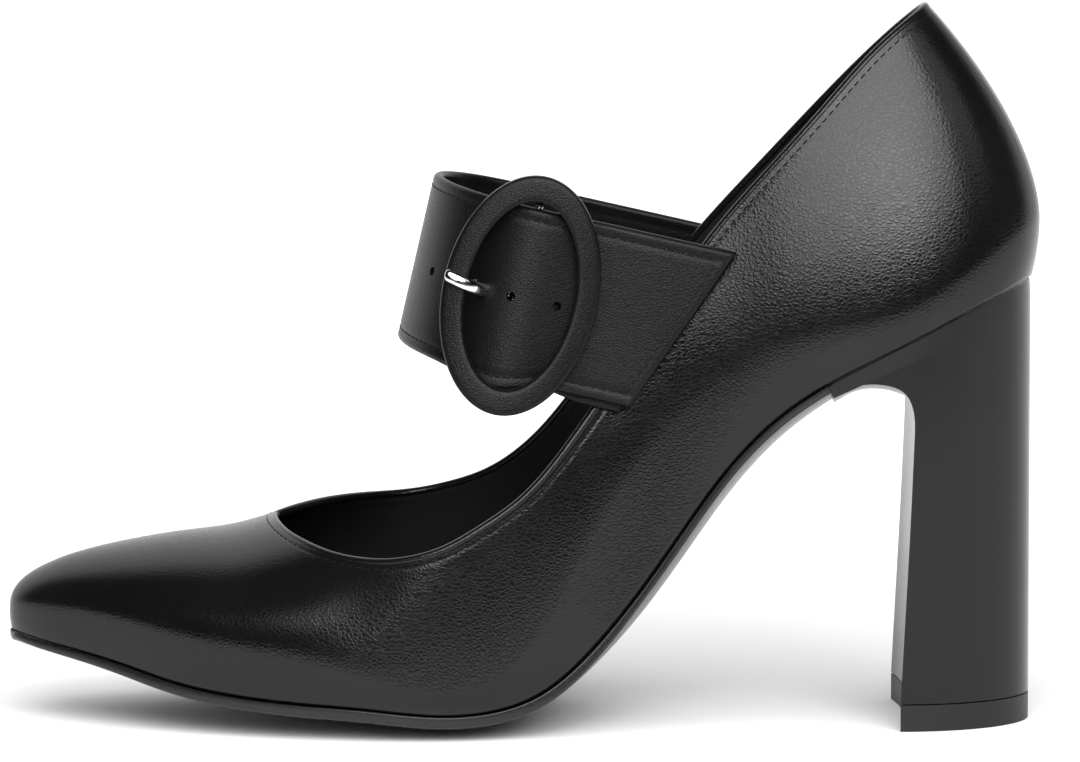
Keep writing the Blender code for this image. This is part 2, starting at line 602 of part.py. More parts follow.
def make_buckle_bar(material):
    """Steel bar behind the strap, its ends turned out to the back of the ring."""
    end = RING_INNER[1] + 2.3
    bend = end - BAR_BEND
    tip = RING_BACK_Y + GAP
    rows = ((-end, tip), (-end, tip + 1.7), (0.4 * BAR_BEND - end, BAR_AT[1] - 1.1), (-bend, BAR_AT[1]))
    rows = rows + tuple((-up, across) for up, across in rows[::-1])
    path = np.array(rows)
    tangent = np.gradient(path, axis=0)
    tangent[0] = tangent[-1] = 0.0
    tangent[0, 1], tangent[-1, 1] = 1.0, -1.0
    tangent = tangent / np.linalg.norm(tangent, axis=1)[:, None]
    turn = np.linspace(0.0, 2.0 * np.pi, 9)
    normal = np.stack([-tangent[:, 1], tangent[:, 0]], axis=1)
    grid = np.empty((len(path), len(turn), 3))
    grid[..., 0] = BAR_AT[0] + BAR_RADIUS * np.cos(turn)
    grid[..., 1:] = path[:, None, :] + BAR_RADIUS * np.sin(turn)[None, :, None] * normal[:, None, :]
    patches = [grid]
    for end_ring in (grid[0], grid[-1]):
        centre = end_ring[:-1].mean(axis=0)
        patches.append(np.stack([end_ring, np.broadcast_to(centre, end_ring.shape)]))
    return make_object("buckle_bar", [strap_to_shoe(p) for p in patches], material)


def make_buckle_prong(material):
    """Steel prong: a strip bent round the bar, through the strap's slot and over the ring."""
    reach = BAR_RADIUS + GAP + 0.5 * PRONG_THICK
    turned = bent_round_bar(reach, -60.0, 200.0, 14)
    path = path_through(np.concatenate([turned, PRONG_PATH["rows"]]), 40)
    low, high = PRONG_UP - 0.5 * PRONG_WIDTH, PRONG_UP + 0.5 * PRONG_WIDTH
    return make_object("buckle_prong", band_between(path, path, PRONG_THICK, low, high), material)


for old in list(bpy.data.objects):
    bpy.data.objects.remove(old, do_unlink=True)

grained_leather = make_material("grained_leather", (0.016, 0.016, 0.017), 0.42)
strap_leather = make_material("strap_leather", (0.018, 0.018, 0.019), 0.48)
sole_leather = make_material("sole_leather", (0.014, 0.014, 0.014), 0.3)
lining_leather = make_material("lining_leather", (0.012, 0.012, 0.012), 0.6)
heel_cover = make_material("heel_cover", (0.03, 0.03, 0.031), 0.4)
top_piece_rubber = make_material("top_piece_rubber", (0.025, 0.025, 0.025), 0.6)
polished_steel = make_material("polished_steel", (0.75, 0.75, 0.76), 0.15, 1.0)

make_upper(grained_leather)
make_outsole(sole_leather)
make_insole(lining_leather)
make_heel_block(heel_cover)
make_heel_top_piece(top_piece_rubber)
make_strap(strap_leather)
make_buckle_tab(strap_leather)
make_buckle_frame(strap_leather)
make_buckle_bar(polished_steel)
make_buckle_prong(polished_steel)
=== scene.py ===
"""A woman's left pump of black grained leather on a block heel, with an instep strap and a covered buckle.

Sizes are in millimetres and become metres as each mesh is written. The toe points along -X, the outer
side of the foot is -Y and the floor is z = 0.
"""

import bmesh
import bpy
import numpy as np
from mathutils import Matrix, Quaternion, Vector


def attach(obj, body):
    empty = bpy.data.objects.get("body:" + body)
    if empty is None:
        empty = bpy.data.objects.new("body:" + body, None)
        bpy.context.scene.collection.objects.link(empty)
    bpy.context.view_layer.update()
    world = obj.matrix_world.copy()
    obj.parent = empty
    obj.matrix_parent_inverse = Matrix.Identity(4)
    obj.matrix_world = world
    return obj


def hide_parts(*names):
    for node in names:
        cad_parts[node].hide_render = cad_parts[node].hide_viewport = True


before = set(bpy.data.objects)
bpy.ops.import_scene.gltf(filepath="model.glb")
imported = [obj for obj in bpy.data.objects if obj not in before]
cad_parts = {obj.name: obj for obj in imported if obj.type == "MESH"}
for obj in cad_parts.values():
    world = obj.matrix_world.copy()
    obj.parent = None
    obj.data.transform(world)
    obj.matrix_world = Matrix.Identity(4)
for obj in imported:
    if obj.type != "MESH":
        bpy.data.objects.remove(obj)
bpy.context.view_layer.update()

# Insole: a thin board covered in smooth black leather, glued inside over the turned-in edge of the upper.
# It lies on the bottom of the last, so the curves of the last that the other pieces follow come first.
MM = 0.001
GAP = 0.3
INSOLE_THICK = 1.8
INSOLE_INSET = 2.5
INSOLE_ROUND = 0.5
THROAT_X = -56.5
THROAT_LENGTH = 16.5
LINING_BLACK = (0.006, 0.006, 0.0063, 1.0)

# Seam between upper and sole, seen from above: toe tip, outer side, heel back, inner side
SEAM_OUTLINE = {
    "columns": ("x", "y"),
    "rows": (
        (-116.4, 3.0), (-112.4, -4.3), (-102.0, -12.0), (-85.0, -21.5), (-62.0, -30.0), (-38.0, -35.0),
        (-15.0, -35.4), (8.0, -31.0), (32.0, -25.0), (55.0, -22.6), (78.0, -24.0), (97.0, -21.8),
        (110.9, -13.1), (115.9, 0.0), (110.9, 13.1), (97.0, 21.8), (78.0, 22.6), (55.0, 19.0),
        (32.0, 18.6), (8.0, 24.2), (-15.0, 32.4), (-36.0, 35.6), (-60.0, 31.0), (-83.0, 23.4),
        (-101.0, 15.2), (-111.6, 9.6),
    ),
}

# Sections of the last along the shoe: seam height, hollow of the bottom between its edges, how far and how
# high the wall bulges on each side, and the two exponents of the section above the bulge
SECTIONS = {
    "columns": ("x", "seam_z", "crown", "bulge_out", "bulge_in", "bulge_h", "fullness", "roundness"),
    "rows": (
        (-116.0, 19.7, 0.5, 0.4, 0.4, 4.0, 2.7, 1.00),
        (-112.0, 18.9, 0.7, 0.7, 0.7, 6.0, 2.5, 1.15),
        (-102.0, 17.2, 1.2, 1.0, 1.0, 8.5, 2.2, 1.55),
        (-90.0, 14.7, 1.8, 1.3, 1.3, 10.0, 2.0, 1.90),
        (-78.0, 11.5, 2.3, 1.6, 1.6, 10.8, 2.0, 2.00),
        (-65.0, 9.3, 2.7, 1.9, 1.9, 11.0, 2.0, 2.00),
        (-50.0, 8.0, 3.5, 2.2, 2.2, 10.0, 2.0, 2.05),
        (-35.0, 7.1, 4.0, 2.4, 2.4, 7.5, 1.7, 3.10),
        (-18.6, 5.7, 4.2, 2.2, 2.4, 5.6, 1.4, 6.00),
        (-5.0, 6.7, 3.7, 2.0, 2.8, 8.0, 1.35, 5.00),
        (6.0, 10.9, 2.6, 1.5, 3.5, 15.5, 1.4, 3.60),
        (18.0, 21.6, 3.0, 0.1, 3.8, 26.0, 1.65, 1.60),
        (32.0, 39.4, 3.4, 0.0, 3.4, 28.0, 1.7, 1.10),
        (45.0, 57.6, 3.4, 1.0, 2.8, 22.0, 1.62, 1.00),
        (58.0, 71.2, 3.0, 2.0, 2.4, 17.0, 1.50, 1.00),
        (72.0, 80.6, 2.4, 1.8, 2.0, 12.0, 1.44, 1.00),
        (90.0, 89.9, 1.2, 1.2, 1.3, 8.5, 1.42, 1.00),
        (104.0, 96.8, 0.6, 1.3, 1.4, 10.5, 1.50, 1.05),
        (115.0, 101.3, 0.6, 1.7, 1.7, 13.0, 1.65, 1.12),
    ),
}


def spline(knots, values, at):
    """Natural cubic spline through (knots, values), read at the places at, held level past its ends."""
    knots = np.asarray(knots, float)
    values = np.asarray(values, float)
    count = len(knots)
    step = np.diff(knots)
    inside = np.arange(1, count - 1)
    matrix = np.eye(count)
    matrix[inside, inside - 1] = step[:-1]
    matrix[inside, inside] = 2.0 * (step[:-1] + step[1:])
    matrix[inside, inside + 1] = step[1:]
    right = np.zeros(count)
    right[1:-1] = 6.0 * np.diff(np.diff(values) / step)
    bend = np.linalg.solve(matrix, right)
    at = np.clip(np.asarray(at, float), knots[0], knots[-1])
    i = np.clip(np.searchsorted(knots, at) - 1, 0, count - 2)
    a = (knots[i + 1] - at) / step[i]
    b = (at - knots[i]) / step[i]
    curve = ((a ** 3 - a) * bend[i] + (b ** 3 - b) * bend[i + 1]) * step[i] ** 2 / 6.0
    return a * values[i] + b * values[i + 1] + curve


def read(table, column, x):
    """One column of a table at x, smoothly between its rows."""
    rows = np.array(table["rows"])
    return spline(rows[:, 0], rows[:, table["columns"].index(column)], x)


def length_along(points):
    """Distance walked along a line of points, from its first point."""
    return np.concatenate([[0.0], np.cumsum(np.linalg.norm(np.diff(points, axis=0), axis=1))])


def between(at, known, points):
    """Rows of points read at the places at, straight between the known places."""
    return np.stack([np.interp(at, known, column) for column in points.T], axis=-1)


def even_steps(points, count):
    """The same line of points cut into even steps of length."""
    length = length_along(points)
    return between(np.linspace(0.0, length[-1], count), length, points)


def path_through(points, count):
    """Points at even steps of length along a smooth curve through the given ones."""
    points = np.asarray(points, float)
    chord = length_along(points)
    fine = np.linspace(0.0, chord[-1], 40 * len(points))
    return even_steps(np.stack([spline(chord, column, fine) for column in points.T], axis=1), count)


def unit(vectors):
    """Vectors of length one."""
    return vectors / np.maximum(np.linalg.norm(vectors, axis=-1, keepdims=True), 1e-12)


def seam_sides():
    """The seam's outline as two dense curves from toe tip to heel back: outer side and inner side."""
    rows = np.array(SEAM_OUTLINE["rows"])
    closed = np.concatenate([rows[-4:], rows, rows[:5]])
    chord = length_along(closed)
    at = np.linspace(chord[4], chord[4 + len(rows)], 4001)
    loop = np.stack([spline(chord, column, at) for column in closed.T], axis=1)[:-1]
    loop = np.roll(loop, -np.argmin(loop[:, 0]), axis=0)
    back = np.argmax(loop[:, 0])
    return loop[:back + 1], np.concatenate([loop[back:], loop[:1]])[::-1]


OUTER_SEAM, INNER_SEAM = seam_sides()
TOE_X = OUTER_SEAM[0, 0]
BACK_X = OUTER_SEAM[-1, 0]


def seam_points(x, inner, grow):
    """Points of the seam at the stations x, moved outwards by grow square to the outline."""
    side = INNER_SEAM if inner else OUTER_SEAM
    along = unit(np.gradient(side, axis=0))
    along[0] = (0.0, 1.0 if inner else -1.0)
    along[-1] = -along[0]
    away = np.stack([along[:, 1], -along[:, 0]], axis=1) * (-1.0 if inner else 1.0)
    return between(x, side[:, 0], side) + grow * between(x, side[:, 0], away)


def stations(toe_count, throat_count, rest_count):
    """Places along the shoe, closer at the toe tip, round the throat and at the heel's back."""
    throat_end = THROAT_X + THROAT_LENGTH
    toe = TOE_X + (THROAT_X - TOE_X) * (0.5 - 0.5 * np.cos(np.linspace(0.0, np.pi, toe_count + 1)))
    throat = THROAT_X + THROAT_LENGTH * (np.arange(1, throat_count + 1) / throat_count) ** 2
    rest = throat_end + (BACK_X - throat_end) * np.sin(np.linspace(0.0, np.pi / 2, rest_count + 1))
    return np.concatenate([toe, throat, rest[1:]])


def bottom_z(x, y):
    """Height of the bottom of the last: the seam's height, hollowed downwards between the two edges."""
    half = np.where(y < 0.0, -seam_points(x, False, 0.0)[..., 1], seam_points(x, True, 0.0)[..., 1])
    share = np.clip(np.abs(y) / np.maximum(half, 0.5), 0.0, 1.0)
    return read(SECTIONS, "seam_z", x) - read(SECTIONS, "crown", x) * (1.0 - share ** 2)


def bottom_plate(x, grow, lift, thick, round_top, round_low, across, floor=None, belly=0.0):
    """Grid[station, round the section] of a plate under the last's bottom, with rounded edges.

    Each section runs over the top from the outer to the inner edge and back below. Its points lie between
    the two sides of the seam, moved out by grow less the tuck of the rounding, and stand off the bottom of
    the last squarely: lift at the top, lift less thick below, where the middle hangs lower by belly.
    """
    turn = np.linspace(0.0, np.pi / 2, 6)
    share = 0.5 - 0.5 * np.cos(np.linspace(0.0, np.pi, across))[1:-1]
    flat = np.zeros_like(share)
    top_tuck, top_drop = round_top * (1.0 - np.sin(turn)), round_top * (1.0 - np.cos(turn))
    low_tuck, low_rise = round_low * (1.0 - np.cos(turn)), round_low * (1.0 - np.sin(turn))
    half = np.concatenate([0.0 * turn, share, 0.0 * turn + 1.0])
    shares = np.concatenate([half, half[::-1], half[:1]])
    over_tuck = np.concatenate([top_tuck[::-1], flat + round_top, top_tuck])
    under_tuck = np.concatenate([low_tuck, flat + round_low, low_tuck[::-1]])
    tuck = np.concatenate([over_tuck, under_tuck, over_tuck[:1]])
    over = lift - np.concatenate([top_drop[::-1], flat, top_drop])[None, :] + 0.0 * x[:, None]
    under = lift - np.broadcast_to(thick, x.shape)[:, None]
    under = under + np.concatenate([low_rise, flat, low_rise[::-1]])
    under = under - np.broadcast_to(belly, x.shape)[:, None] * 4.0 * half[::-1] * (1.0 - half[::-1])
    height = np.concatenate([over, under, over[:, :1]], axis=1)
    outset = (grow - tuck)[:, None, None]
    outer, inner = seam_points(x, False, outset), seam_points(x, True, outset)
    grid = np.empty((len(x), len(shares), 3))
    grid[..., :2] = np.swapaxes(outer + shares[:, None, None] * (inner - outer), 0, 1)
    slope = read(SECTIONS, "seam_z", grid[..., 0] + 0.5) - read(SECTIONS, "seam_z", grid[..., 0] - 0.5)
    size = np.sqrt(1.0 + slope ** 2)
    grid[..., 2] = bottom_z(grid[..., 0], grid[..., 1]) + height / size
    grid[..., 0] = grid[..., 0] - height * slope / size
    if floor is not None:
        grid[..., 2] = np.maximum(grid[..., 2], floor)
    return grid


SHARP_EDGE = 40.0


def piece(name, grids, materials, sharp=SHARP_EDGE, closed=True, weld=0.004):
    """One object from grids of points [..., rows, columns, 3] in millimetres.

    Each cell becomes a quad, points that meet are merged, and open ends of a closed piece are filled.
    """
    quads, start = [], 0
    for grid in grids:
        index = start + np.arange(grid[..., 0].size).reshape(grid.shape[:-1])
        corners = [index[..., :-1, :-1], index[..., :-1, 1:], index[..., 1:, 1:], index[..., 1:, :-1]]
        quads.append(np.stack(corners, axis=-1).reshape(-1, 4))
        start += index.size
    points = np.concatenate([grid.reshape(-1, 3) for grid in grids])
    mesh = bpy.data.meshes.new(name)
    mesh.from_pydata((points * MM).tolist(), [], np.concatenate(quads).tolist())
    bm = bmesh.new()
    bm.from_mesh(mesh)
    bmesh.ops.remove_doubles(bm, verts=bm.verts, dist=weld * MM)
    bmesh.ops.dissolve_degenerate(bm, edges=bm.edges, dist=0.1 * weld * MM)
    if closed:
        bmesh.ops.holes_fill(bm, edges=bm.edges, sides=0)
        bmesh.ops.recalc_face_normals(bm, faces=bm.faces)
    bm.to_mesh(mesh)
    bm.free()
    for material in materials:
        mesh.materials.append(material)
    mesh.shade_smooth()
    mesh.set_sharp_from_angle(angle=np.radians(sharp))
    obj = bpy.data.objects.new(name, mesh)
    bpy.context.scene.collection.objects.link(obj)
    return obj


def fit(obj, slot, *nodes):
    """The piece moves with the shoe and stands for these solids, which are hidden; slot is not used."""
    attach(obj, "root")
    if nodes:
        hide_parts(*nodes)


def node(tree, kind, sockets=None, **settings):
    """A new shader node with its settings, each socket set to a value or linked from an output."""
    made = tree.nodes.new(kind)
    for key, value in settings.items():
        setattr(made, key, value)
    for key, value in (sockets or {}).items():
        if isinstance(value, bpy.types.NodeSocket):
            tree.links.new(value, made.inputs[key])
        else:
            made.inputs[key].default_value = value
    return made


def math(tree, operation, a, b=0.0):
    """Output of one Math node."""
    return node(tree, "ShaderNodeMath", {0: a, 1: b}, operation=operation).outputs[0]


def ramp(tree, value, low, high, to_low=0.0, to_high=1.0):
    """A smooth step of a value between low and high."""
    sockets = {"Value": value, "From Min": low, "From Max": high, "To Min": to_low, "To Max": to_high}
    return node(tree, "ShaderNodeMapRange", sockets, interpolation_type="SMOOTHSTEP").outputs["Result"]


GRAIN_DRIFT, GRAIN_WARP = 0.4, 0.9
CELL_HEIGHT, PORE_HEIGHT = 0.75, 0.2
PORES_IN_CELL = 2.6


def leather_grain():
    """Node group: grain of full leather, small domed cells, drawn out here and there into wrinkles.

    Height is near 1 on the cells and near 0 between them. Handling is a slow cloud for gloss and colour.
    """
    tree = bpy.data.node_groups.new("leather_grain", "ShaderNodeTree")
    tree.interface.new_socket("Vector", in_out="INPUT", socket_type="NodeSocketVector")
    for way, labels in (("INPUT", ("Cells", "Wrinkles")), ("OUTPUT", ("Height", "Handling"))):
        for label in labels:
            tree.interface.new_socket(label, in_out=way, socket_type="NodeSocketFloat")
    given = tree.nodes.new("NodeGroupInput").outputs
    out = tree.nodes.new("NodeGroupOutput").inputs
    slow = math(tree, "MULTIPLY", given["Cells"], GRAIN_DRIFT)
    drift = node(tree, "ShaderNodeTexNoise", {"Vector": given["Vector"], "Scale": slow, "Detail": 2.0})
    centred = node(tree, "ShaderNodeVectorMath", {0: drift.outputs["Color"], 1: (0.5, 0.5, 0.5)},
                   operation="SUBTRACT")
    reach = math(tree, "DIVIDE", GRAIN_WARP, given["Cells"])
    moved = node(tree, "ShaderNodeVectorMath", {0: centred.outputs[0], "Scale": reach}, operation="SCALE")
    warped = node(tree, "ShaderNodeVectorMath", {0: given["Vector"], 1: moved.outputs[0]}, operation="ADD")
    drawn = node(tree, "ShaderNodeMapping", {"Vector": warped.outputs[0], "Scale": (0.85, 0.85, 1.1)})
    cell = node(tree, "ShaderNodeTexVoronoi", {"Vector": drawn.outputs[0], "Scale": given["Cells"]},
                feature="DISTANCE_TO_EDGE")
    cells = ramp(tree, cell.outputs["Distance"], 0.0, 0.3)
    long_way = node(tree, "ShaderNodeMapping", {"Vector": warped.outputs[0], "Scale": (0.5, 0.5, 0.95)})
    wrinkle = node(tree, "ShaderNodeTexVoronoi", {"Vector": long_way.outputs[0], "Scale": given["Cells"]})
    creases = ramp(tree, wrinkle.outputs["Distance"], 0.05, 0.75, 1.0, 0.0)
    pore = node(tree, "ShaderNodeTexNoise", {"Vector": given["Vector"], "Detail": 1.0,
                                             "Scale": math(tree, "MULTIPLY", given["Cells"], PORES_IN_CELL)})
    part = math(tree, "MULTIPLY", creases, given["Wrinkles"])
    both = math(tree, "ADD", math(tree, "MULTIPLY", cells, CELL_HEIGHT), part)
    total = math(tree, "ADD", both, math(tree, "MULTIPLY", pore.outputs["Fac"], PORE_HEIGHT))
    tree.links.new(total, out["Height"])
    cloud = node(tree, "ShaderNodeTexNoise", {"Vector": given["Vector"], "Scale": 45.0, "Detail": 3.0})
    tree.links.new(ramp(tree, cloud.outputs["Fac"], 0.3, 0.7), out["Handling"])
    return tree


GRAIN = leather_grain()


def principled(name, values):
    """A new material with these values on its shader, its node tree and that shader."""
    material = bpy.data.materials.new(name)
    material.use_nodes = True
    shader = material.node_tree.nodes["Principled BSDF"]
    for label, value in values.items():
        shader.inputs[label].default_value = value
    return material, material.node_tree, shader


def grained(tree, shader, cells, wrinkles, relief):
    """Outputs of the grain in one material, where its height is also the bump, relief metres deep."""
    place = node(tree, "ShaderNodeTexCoord").outputs["Object"]
    sockets = {"Vector": place, "Cells": cells, "Wrinkles": wrinkles}
    grain = node(tree, "ShaderNodeGroup", sockets, node_tree=GRAIN).outputs
    bump = node(tree, "ShaderNodeBump", {"Height": grain["Height"], "Distance": relief})
    tree.links.new(bump.outputs["Normal"], shader.inputs["Normal"])
    return grain


CREASE_DULL = 0.09
HANDLED_DULL = 0.03
HANDLED_SHADES = (0.8, 1.15)


def leather(name, black, cells, wrinkles, relief, gloss, mirror):
    """Black leather: grain as bump, creases duller than the cells, gloss and colour that drift with handling.

    cells is the number of grain cells in a metre, relief the depth of the creases in metres, gloss the
    roughness of the cells, and mirror the level of reflection.
    """
    material, tree, shader = principled(name, {"Specular IOR Level": mirror})
    grain = grained(tree, shader, cells, wrinkles, relief)
    dull = ramp(tree, grain["Height"], 0.2, 0.6, gloss + CREASE_DULL, gloss)
    drifted = math(tree, "MULTIPLY", grain["Handling"], HANDLED_DULL)
    tree.links.new(math(tree, "ADD", dull, drifted), shader.inputs["Roughness"])
    dark, light = (tuple(share * c for c in black[:3]) + (1.0,) for share in HANDLED_SHADES)
    # A Mix node's colours are its inputs 6 and 7 and its output 2
    shade = node(tree, "ShaderNodeMix", {0: grain["Handling"], 6: dark, 7: light}, data_type="RGBA")
    tree.links.new(shade.outputs[2], shader.inputs["Base Color"])
    return material


lining_leather = leather("lining_leather", LINING_BLACK, 1600.0, 0.15, 0.00002, 0.62, 0.3)
insole_x = stations(60, 20, 120)
insole_grid = bottom_plate(insole_x, -INSOLE_INSET, GAP + INSOLE_THICK, INSOLE_THICK,
                           INSOLE_ROUND, INSOLE_ROUND, 40)
insole = piece("insole_cover", [insole_grid], [lining_leather])
fit(insole, "lining_leather", "insole")

# Upper: vamp and quarters cut from one grained calf leather, 1.7 mm with its lining, lasted over the form
# and turned in under the insole. It is a shell, open at the collar and the throat.
WALL = 1.7
TOE_POLE_X, TOE_POLE_SOFT = -104.0, 6.0
HEEL_POLE_X, HEEL_POLE_SOFT = 62.0, 8.0
UPPER_BLACK = (0.0046, 0.0046, 0.0049, 1.0)

# Ridge of the last: the top of the vamp, then the instep and leg that the open part would close on
RIDGE = {
    "columns": ("x", "y", "z"),
    "rows": (
        (-104.0, 3.6, 36.4), (-98.0, 4.0, 38.1), (-87.0, 5.0, 40.3), (-77.0, 5.5, 41.8), (-66.0, 6.0, 43.2),
        (-57.0, 6.0, 45.7), (-50.0, 6.0, 48.3), (-42.0, 5.5, 52.9), (-33.0, 5.0, 60.3), (-23.0, 4.0, 72.6),
        (-10.0, 3.0, 92.5), (10.0, 2.0, 127.0), (35.0, 1.0, 166.0), (62.0, 0.0, 188.0),
    ),
}

# Edge of the foot opening, height on the outer and the inner side
TOPLINE = {
    "columns": ("x", "out_z", "in_z"),
    "rows": (
        (-56.5, 45.83, 45.83), (-53.0, 44.3, 46.6), (-50.0, 43.3, 47.0), (-43.0, 41.4, 47.3),
        (-36.0, 40.5, 47.0), (-29.0, 40.6, 46.8), (-22.5, 41.7, 47.4), (-16.0, 43.9, 48.9),
        (-8.0, 48.4, 51.9), (0.0, 53.9, 57.3), (6.6, 60.5, 64.0), (13.4, 69.3, 72.9),
        (28.0, 90.5, 92.8), (42.5, 111.5, 111.3), (55.0, 126.0, 125.2), (68.0, 140.3, 139.2),
        (80.0, 153.3, 151.6), (92.5, 163.2, 163.2),
    ),
}


def softplus(t):
    """A ramp with a soft foot."""
    return np.log1p(np.exp(t))


def last_ribs(x, inner, low_count, high_count):
    """Outer surface of the upper as ribs[station, level, xyz].

    Each rib stands in the upright plane from the seam towards the ridge. It swells to its bulge, then
    closes on the ridge as a superellipse, and where the shoe is open the topline cuts it off. Levels crowd
    towards the topline.
    """
    seam = seam_points(x, inner, 0.0)
    ridge_x = x + TOE_POLE_SOFT * softplus((TOE_POLE_X - x) / TOE_POLE_SOFT)
    ridge_x = ridge_x - HEEL_POLE_SOFT * softplus((x - HEEL_POLE_X) / HEEL_POLE_SOFT)
    foot = np.stack([ridge_x, read(RIDGE, "y", ridge_x)], axis=1)
    reach = np.linalg.norm(seam - foot, axis=1)
    outward = (seam - foot) / reach[:, None]
    seam_z = read(SECTIONS, "seam_z", x)
    base_z = seam_z + GAP * np.sqrt(1.0 + np.gradient(seam_z, x) ** 2)
    bulge = read(SECTIONS, "bulge_in" if inner else "bulge_out", x)
    bulge_h = read(SECTIONS, "bulge_h", x)
    fullness = read(SECTIONS, "fullness", x)
    roundness = read(SECTIONS, "roundness", x)
    rise = read(RIDGE, "z", ridge_x) - base_z - bulge_h
    edge = "in_z" if inner else "out_z"

    def above_bulge(turn):
        height = bulge_h[:, None] + rise[:, None] * np.sin(turn) ** (2.0 / fullness[:, None])
        radius = (reach + bulge)[:, None] * np.cos(turn) ** (2.0 / roundness[:, None])
        return height, radius

    sweep = np.linspace(0.0, np.pi / 2, 1441)[None, :]
    height, radius = above_bulge(sweep)
    over = base_z[:, None] + height - read(TOPLINE, edge, foot[:, :1] + radius * outward[:, :1])
    first = np.argmax(over >= 0.0, axis=1)
    index = np.arange(len(x))
    before, after = over[index, first - 1], over[index, first]
    cut = sweep[0, first - 1] + (sweep[0, 1] - sweep[0, 0]) * before / (before - after)
    turn_end = np.where(x <= THROAT_X, np.pi / 2, cut)

    low = np.linspace(0.0, 1.0, low_count + 1)[None, :]
    low_height = bulge_h[:, None] * low
    low_radius = reach[:, None] + bulge[:, None] * (1.0 - (1.0 - low) ** 2)
    share = np.linspace(0.0, 1.0, high_count + 1)[None, 1:]
    turn = np.minimum(turn_end[:, None] * (1.0 - (1.0 - share) ** 1.6), np.pi / 2)
    height, radius = above_bulge(turn)
    height = np.concatenate([low_height, height], axis=1)
    radius = np.concatenate([low_radius, np.where(turn >= np.pi / 2 - 1e-9, 0.0, radius)], axis=1)
    ribs = np.empty(height.shape + (3,))
    ribs[:, :, :2] = foot[:, None, :] + radius[:, :, None] * outward[:, None, :]
    ribs[:, :, 2] = base_z[:, None] + height
    return ribs


upper_leather = leather("upper_leather", UPPER_BLACK, 1080.0, 0.2, 0.000021, 0.14, 0.37)
upper_x = stations(80, 30, 150)
outer_ribs = last_ribs(upper_x, False, 14, 44)
inner_ribs = last_ribs(upper_x, True, 14, 44)
around = np.concatenate([inner_ribs, outer_ribs[-2::-1]], axis=0)

# The edge of the opening as one line from the throat's front along the inner side, round the heel and back,
# and the line of the seam that is sewn beside it
SEWN_FROM_EDGE = 1.7
SEWN_GROOVE, SEWN_GROOVE_WIDTH = 0.09, 0.42
open_from = np.searchsorted(upper_x, THROAT_X - 1e-9)
topline = np.concatenate([inner_ribs[open_from:, -1], outer_ribs[-2:open_from - 1:-1, -1]])


def distance_to_topline(points):
    """Distance of each point to the nearest point of the topline, worked out in parts to spare memory."""
    dense = even_steps(topline, 900).astype(np.float32)
    flat = points.reshape(-1, 3).astype(np.float32)
    nearest = np.empty(len(flat), np.float32)
    for part in np.array_split(np.arange(len(flat)), 24):
        gap = flat[part, None, :] - dense[None, :, :]
        nearest[part] = np.sqrt((gap ** 2).sum(axis=2).min(axis=1))
    return nearest.reshape(points.shape[:-1])


edge_gap = distance_to_topline(around)
normals = unit(np.cross(np.gradient(around, axis=1), np.gradient(around, axis=0)))
groove = SEWN_GROOVE * np.exp(-((edge_gap - SEWN_FROM_EDGE) / SEWN_GROOVE_WIDTH) ** 2)
upper_grid = around - groove[..., None] * normals
upper = piece("upper_shell", [upper_grid], [upper_leather, lining_leather], closed=False, weld=0.05)
wall = upper.modifiers.new("wall", "SOLIDIFY")
wall.thickness = WALL * MM
wall.offset = -1.0
wall.material_offset = 1
wall.material_offset_rim = 1
fit(upper, "grained_leather", "upper")

# Topline fold: the leather's edge is skived thin and turned over the lining all round the opening, which
# leaves a soft round bead.
FOLD_RADIUS = 0.98
STEADY_FROM = 2.5


def tube(path, side, up, radius, count):
    """Grid[along, round] of a tube: each ring is radius times the cosine of side plus the sine of up."""
    turn = np.linspace(0.0, 2.0 * np.pi, count + 1)[None, :, None]
    return path[:, None, :] + radius * (np.cos(turn) * side[:, None, :] + np.sin(turn) * up[:, None, :])


# The wall's normals turn fast at the throat's front point, so the fold leaves out those nearest to it
walked = length_along(topline)
even = np.linspace(0.0, walked[-1], 701)
edge_normals = np.concatenate([normals[open_from:len(upper_x), -1], normals[len(upper_x):-open_from - 1, -1]])
steady = (walked[:-1] > STEADY_FROM) & (walked[:-1] < walked[-1] - STEADY_FROM)
edge_out = unit(np.stack([np.interp(even, walked[:-1][steady], column, period=walked[-1])
                          for column in edge_normals[steady].T], axis=1))
fold_path = between(even, walked, topline) - 0.5 * WALL * edge_out
fold_run = np.roll(fold_path[:-1], -1, axis=0) - np.roll(fold_path[:-1], 1, axis=0)
fold_up = unit(np.cross(np.concatenate([fold_run, fold_run[:1]]), edge_out))
fold = piece("topline_fold", [tube(fold_path, edge_out, fold_up, FOLD_RADIUS, 16)], [upper_leather])
fit(fold, "grained_leather")

# Sewing along the opening: waxed black thread in a shallow furrow beside the fold, which it holds down, in
# short even stitches through leather and lining.
STITCH_PITCH = 2.2
STITCH_LENGTH = 1.6
THREAD_RADIUS = 0.2
COLLAR_SINK = 0.12
THREAD_BLACK = (0.004, 0.004, 0.0042, 1.0)


def smooth_loop(points, count, width):
    """A closed line at even steps, each point the mean of its neighbours up to width steps away."""
    loop = even_steps(np.concatenate([points, points[:1]]), count + 1)[:-1]
    return sum(np.roll(loop, k, axis=0) for k in range(-width, width + 1)) / (2 * width + 1)


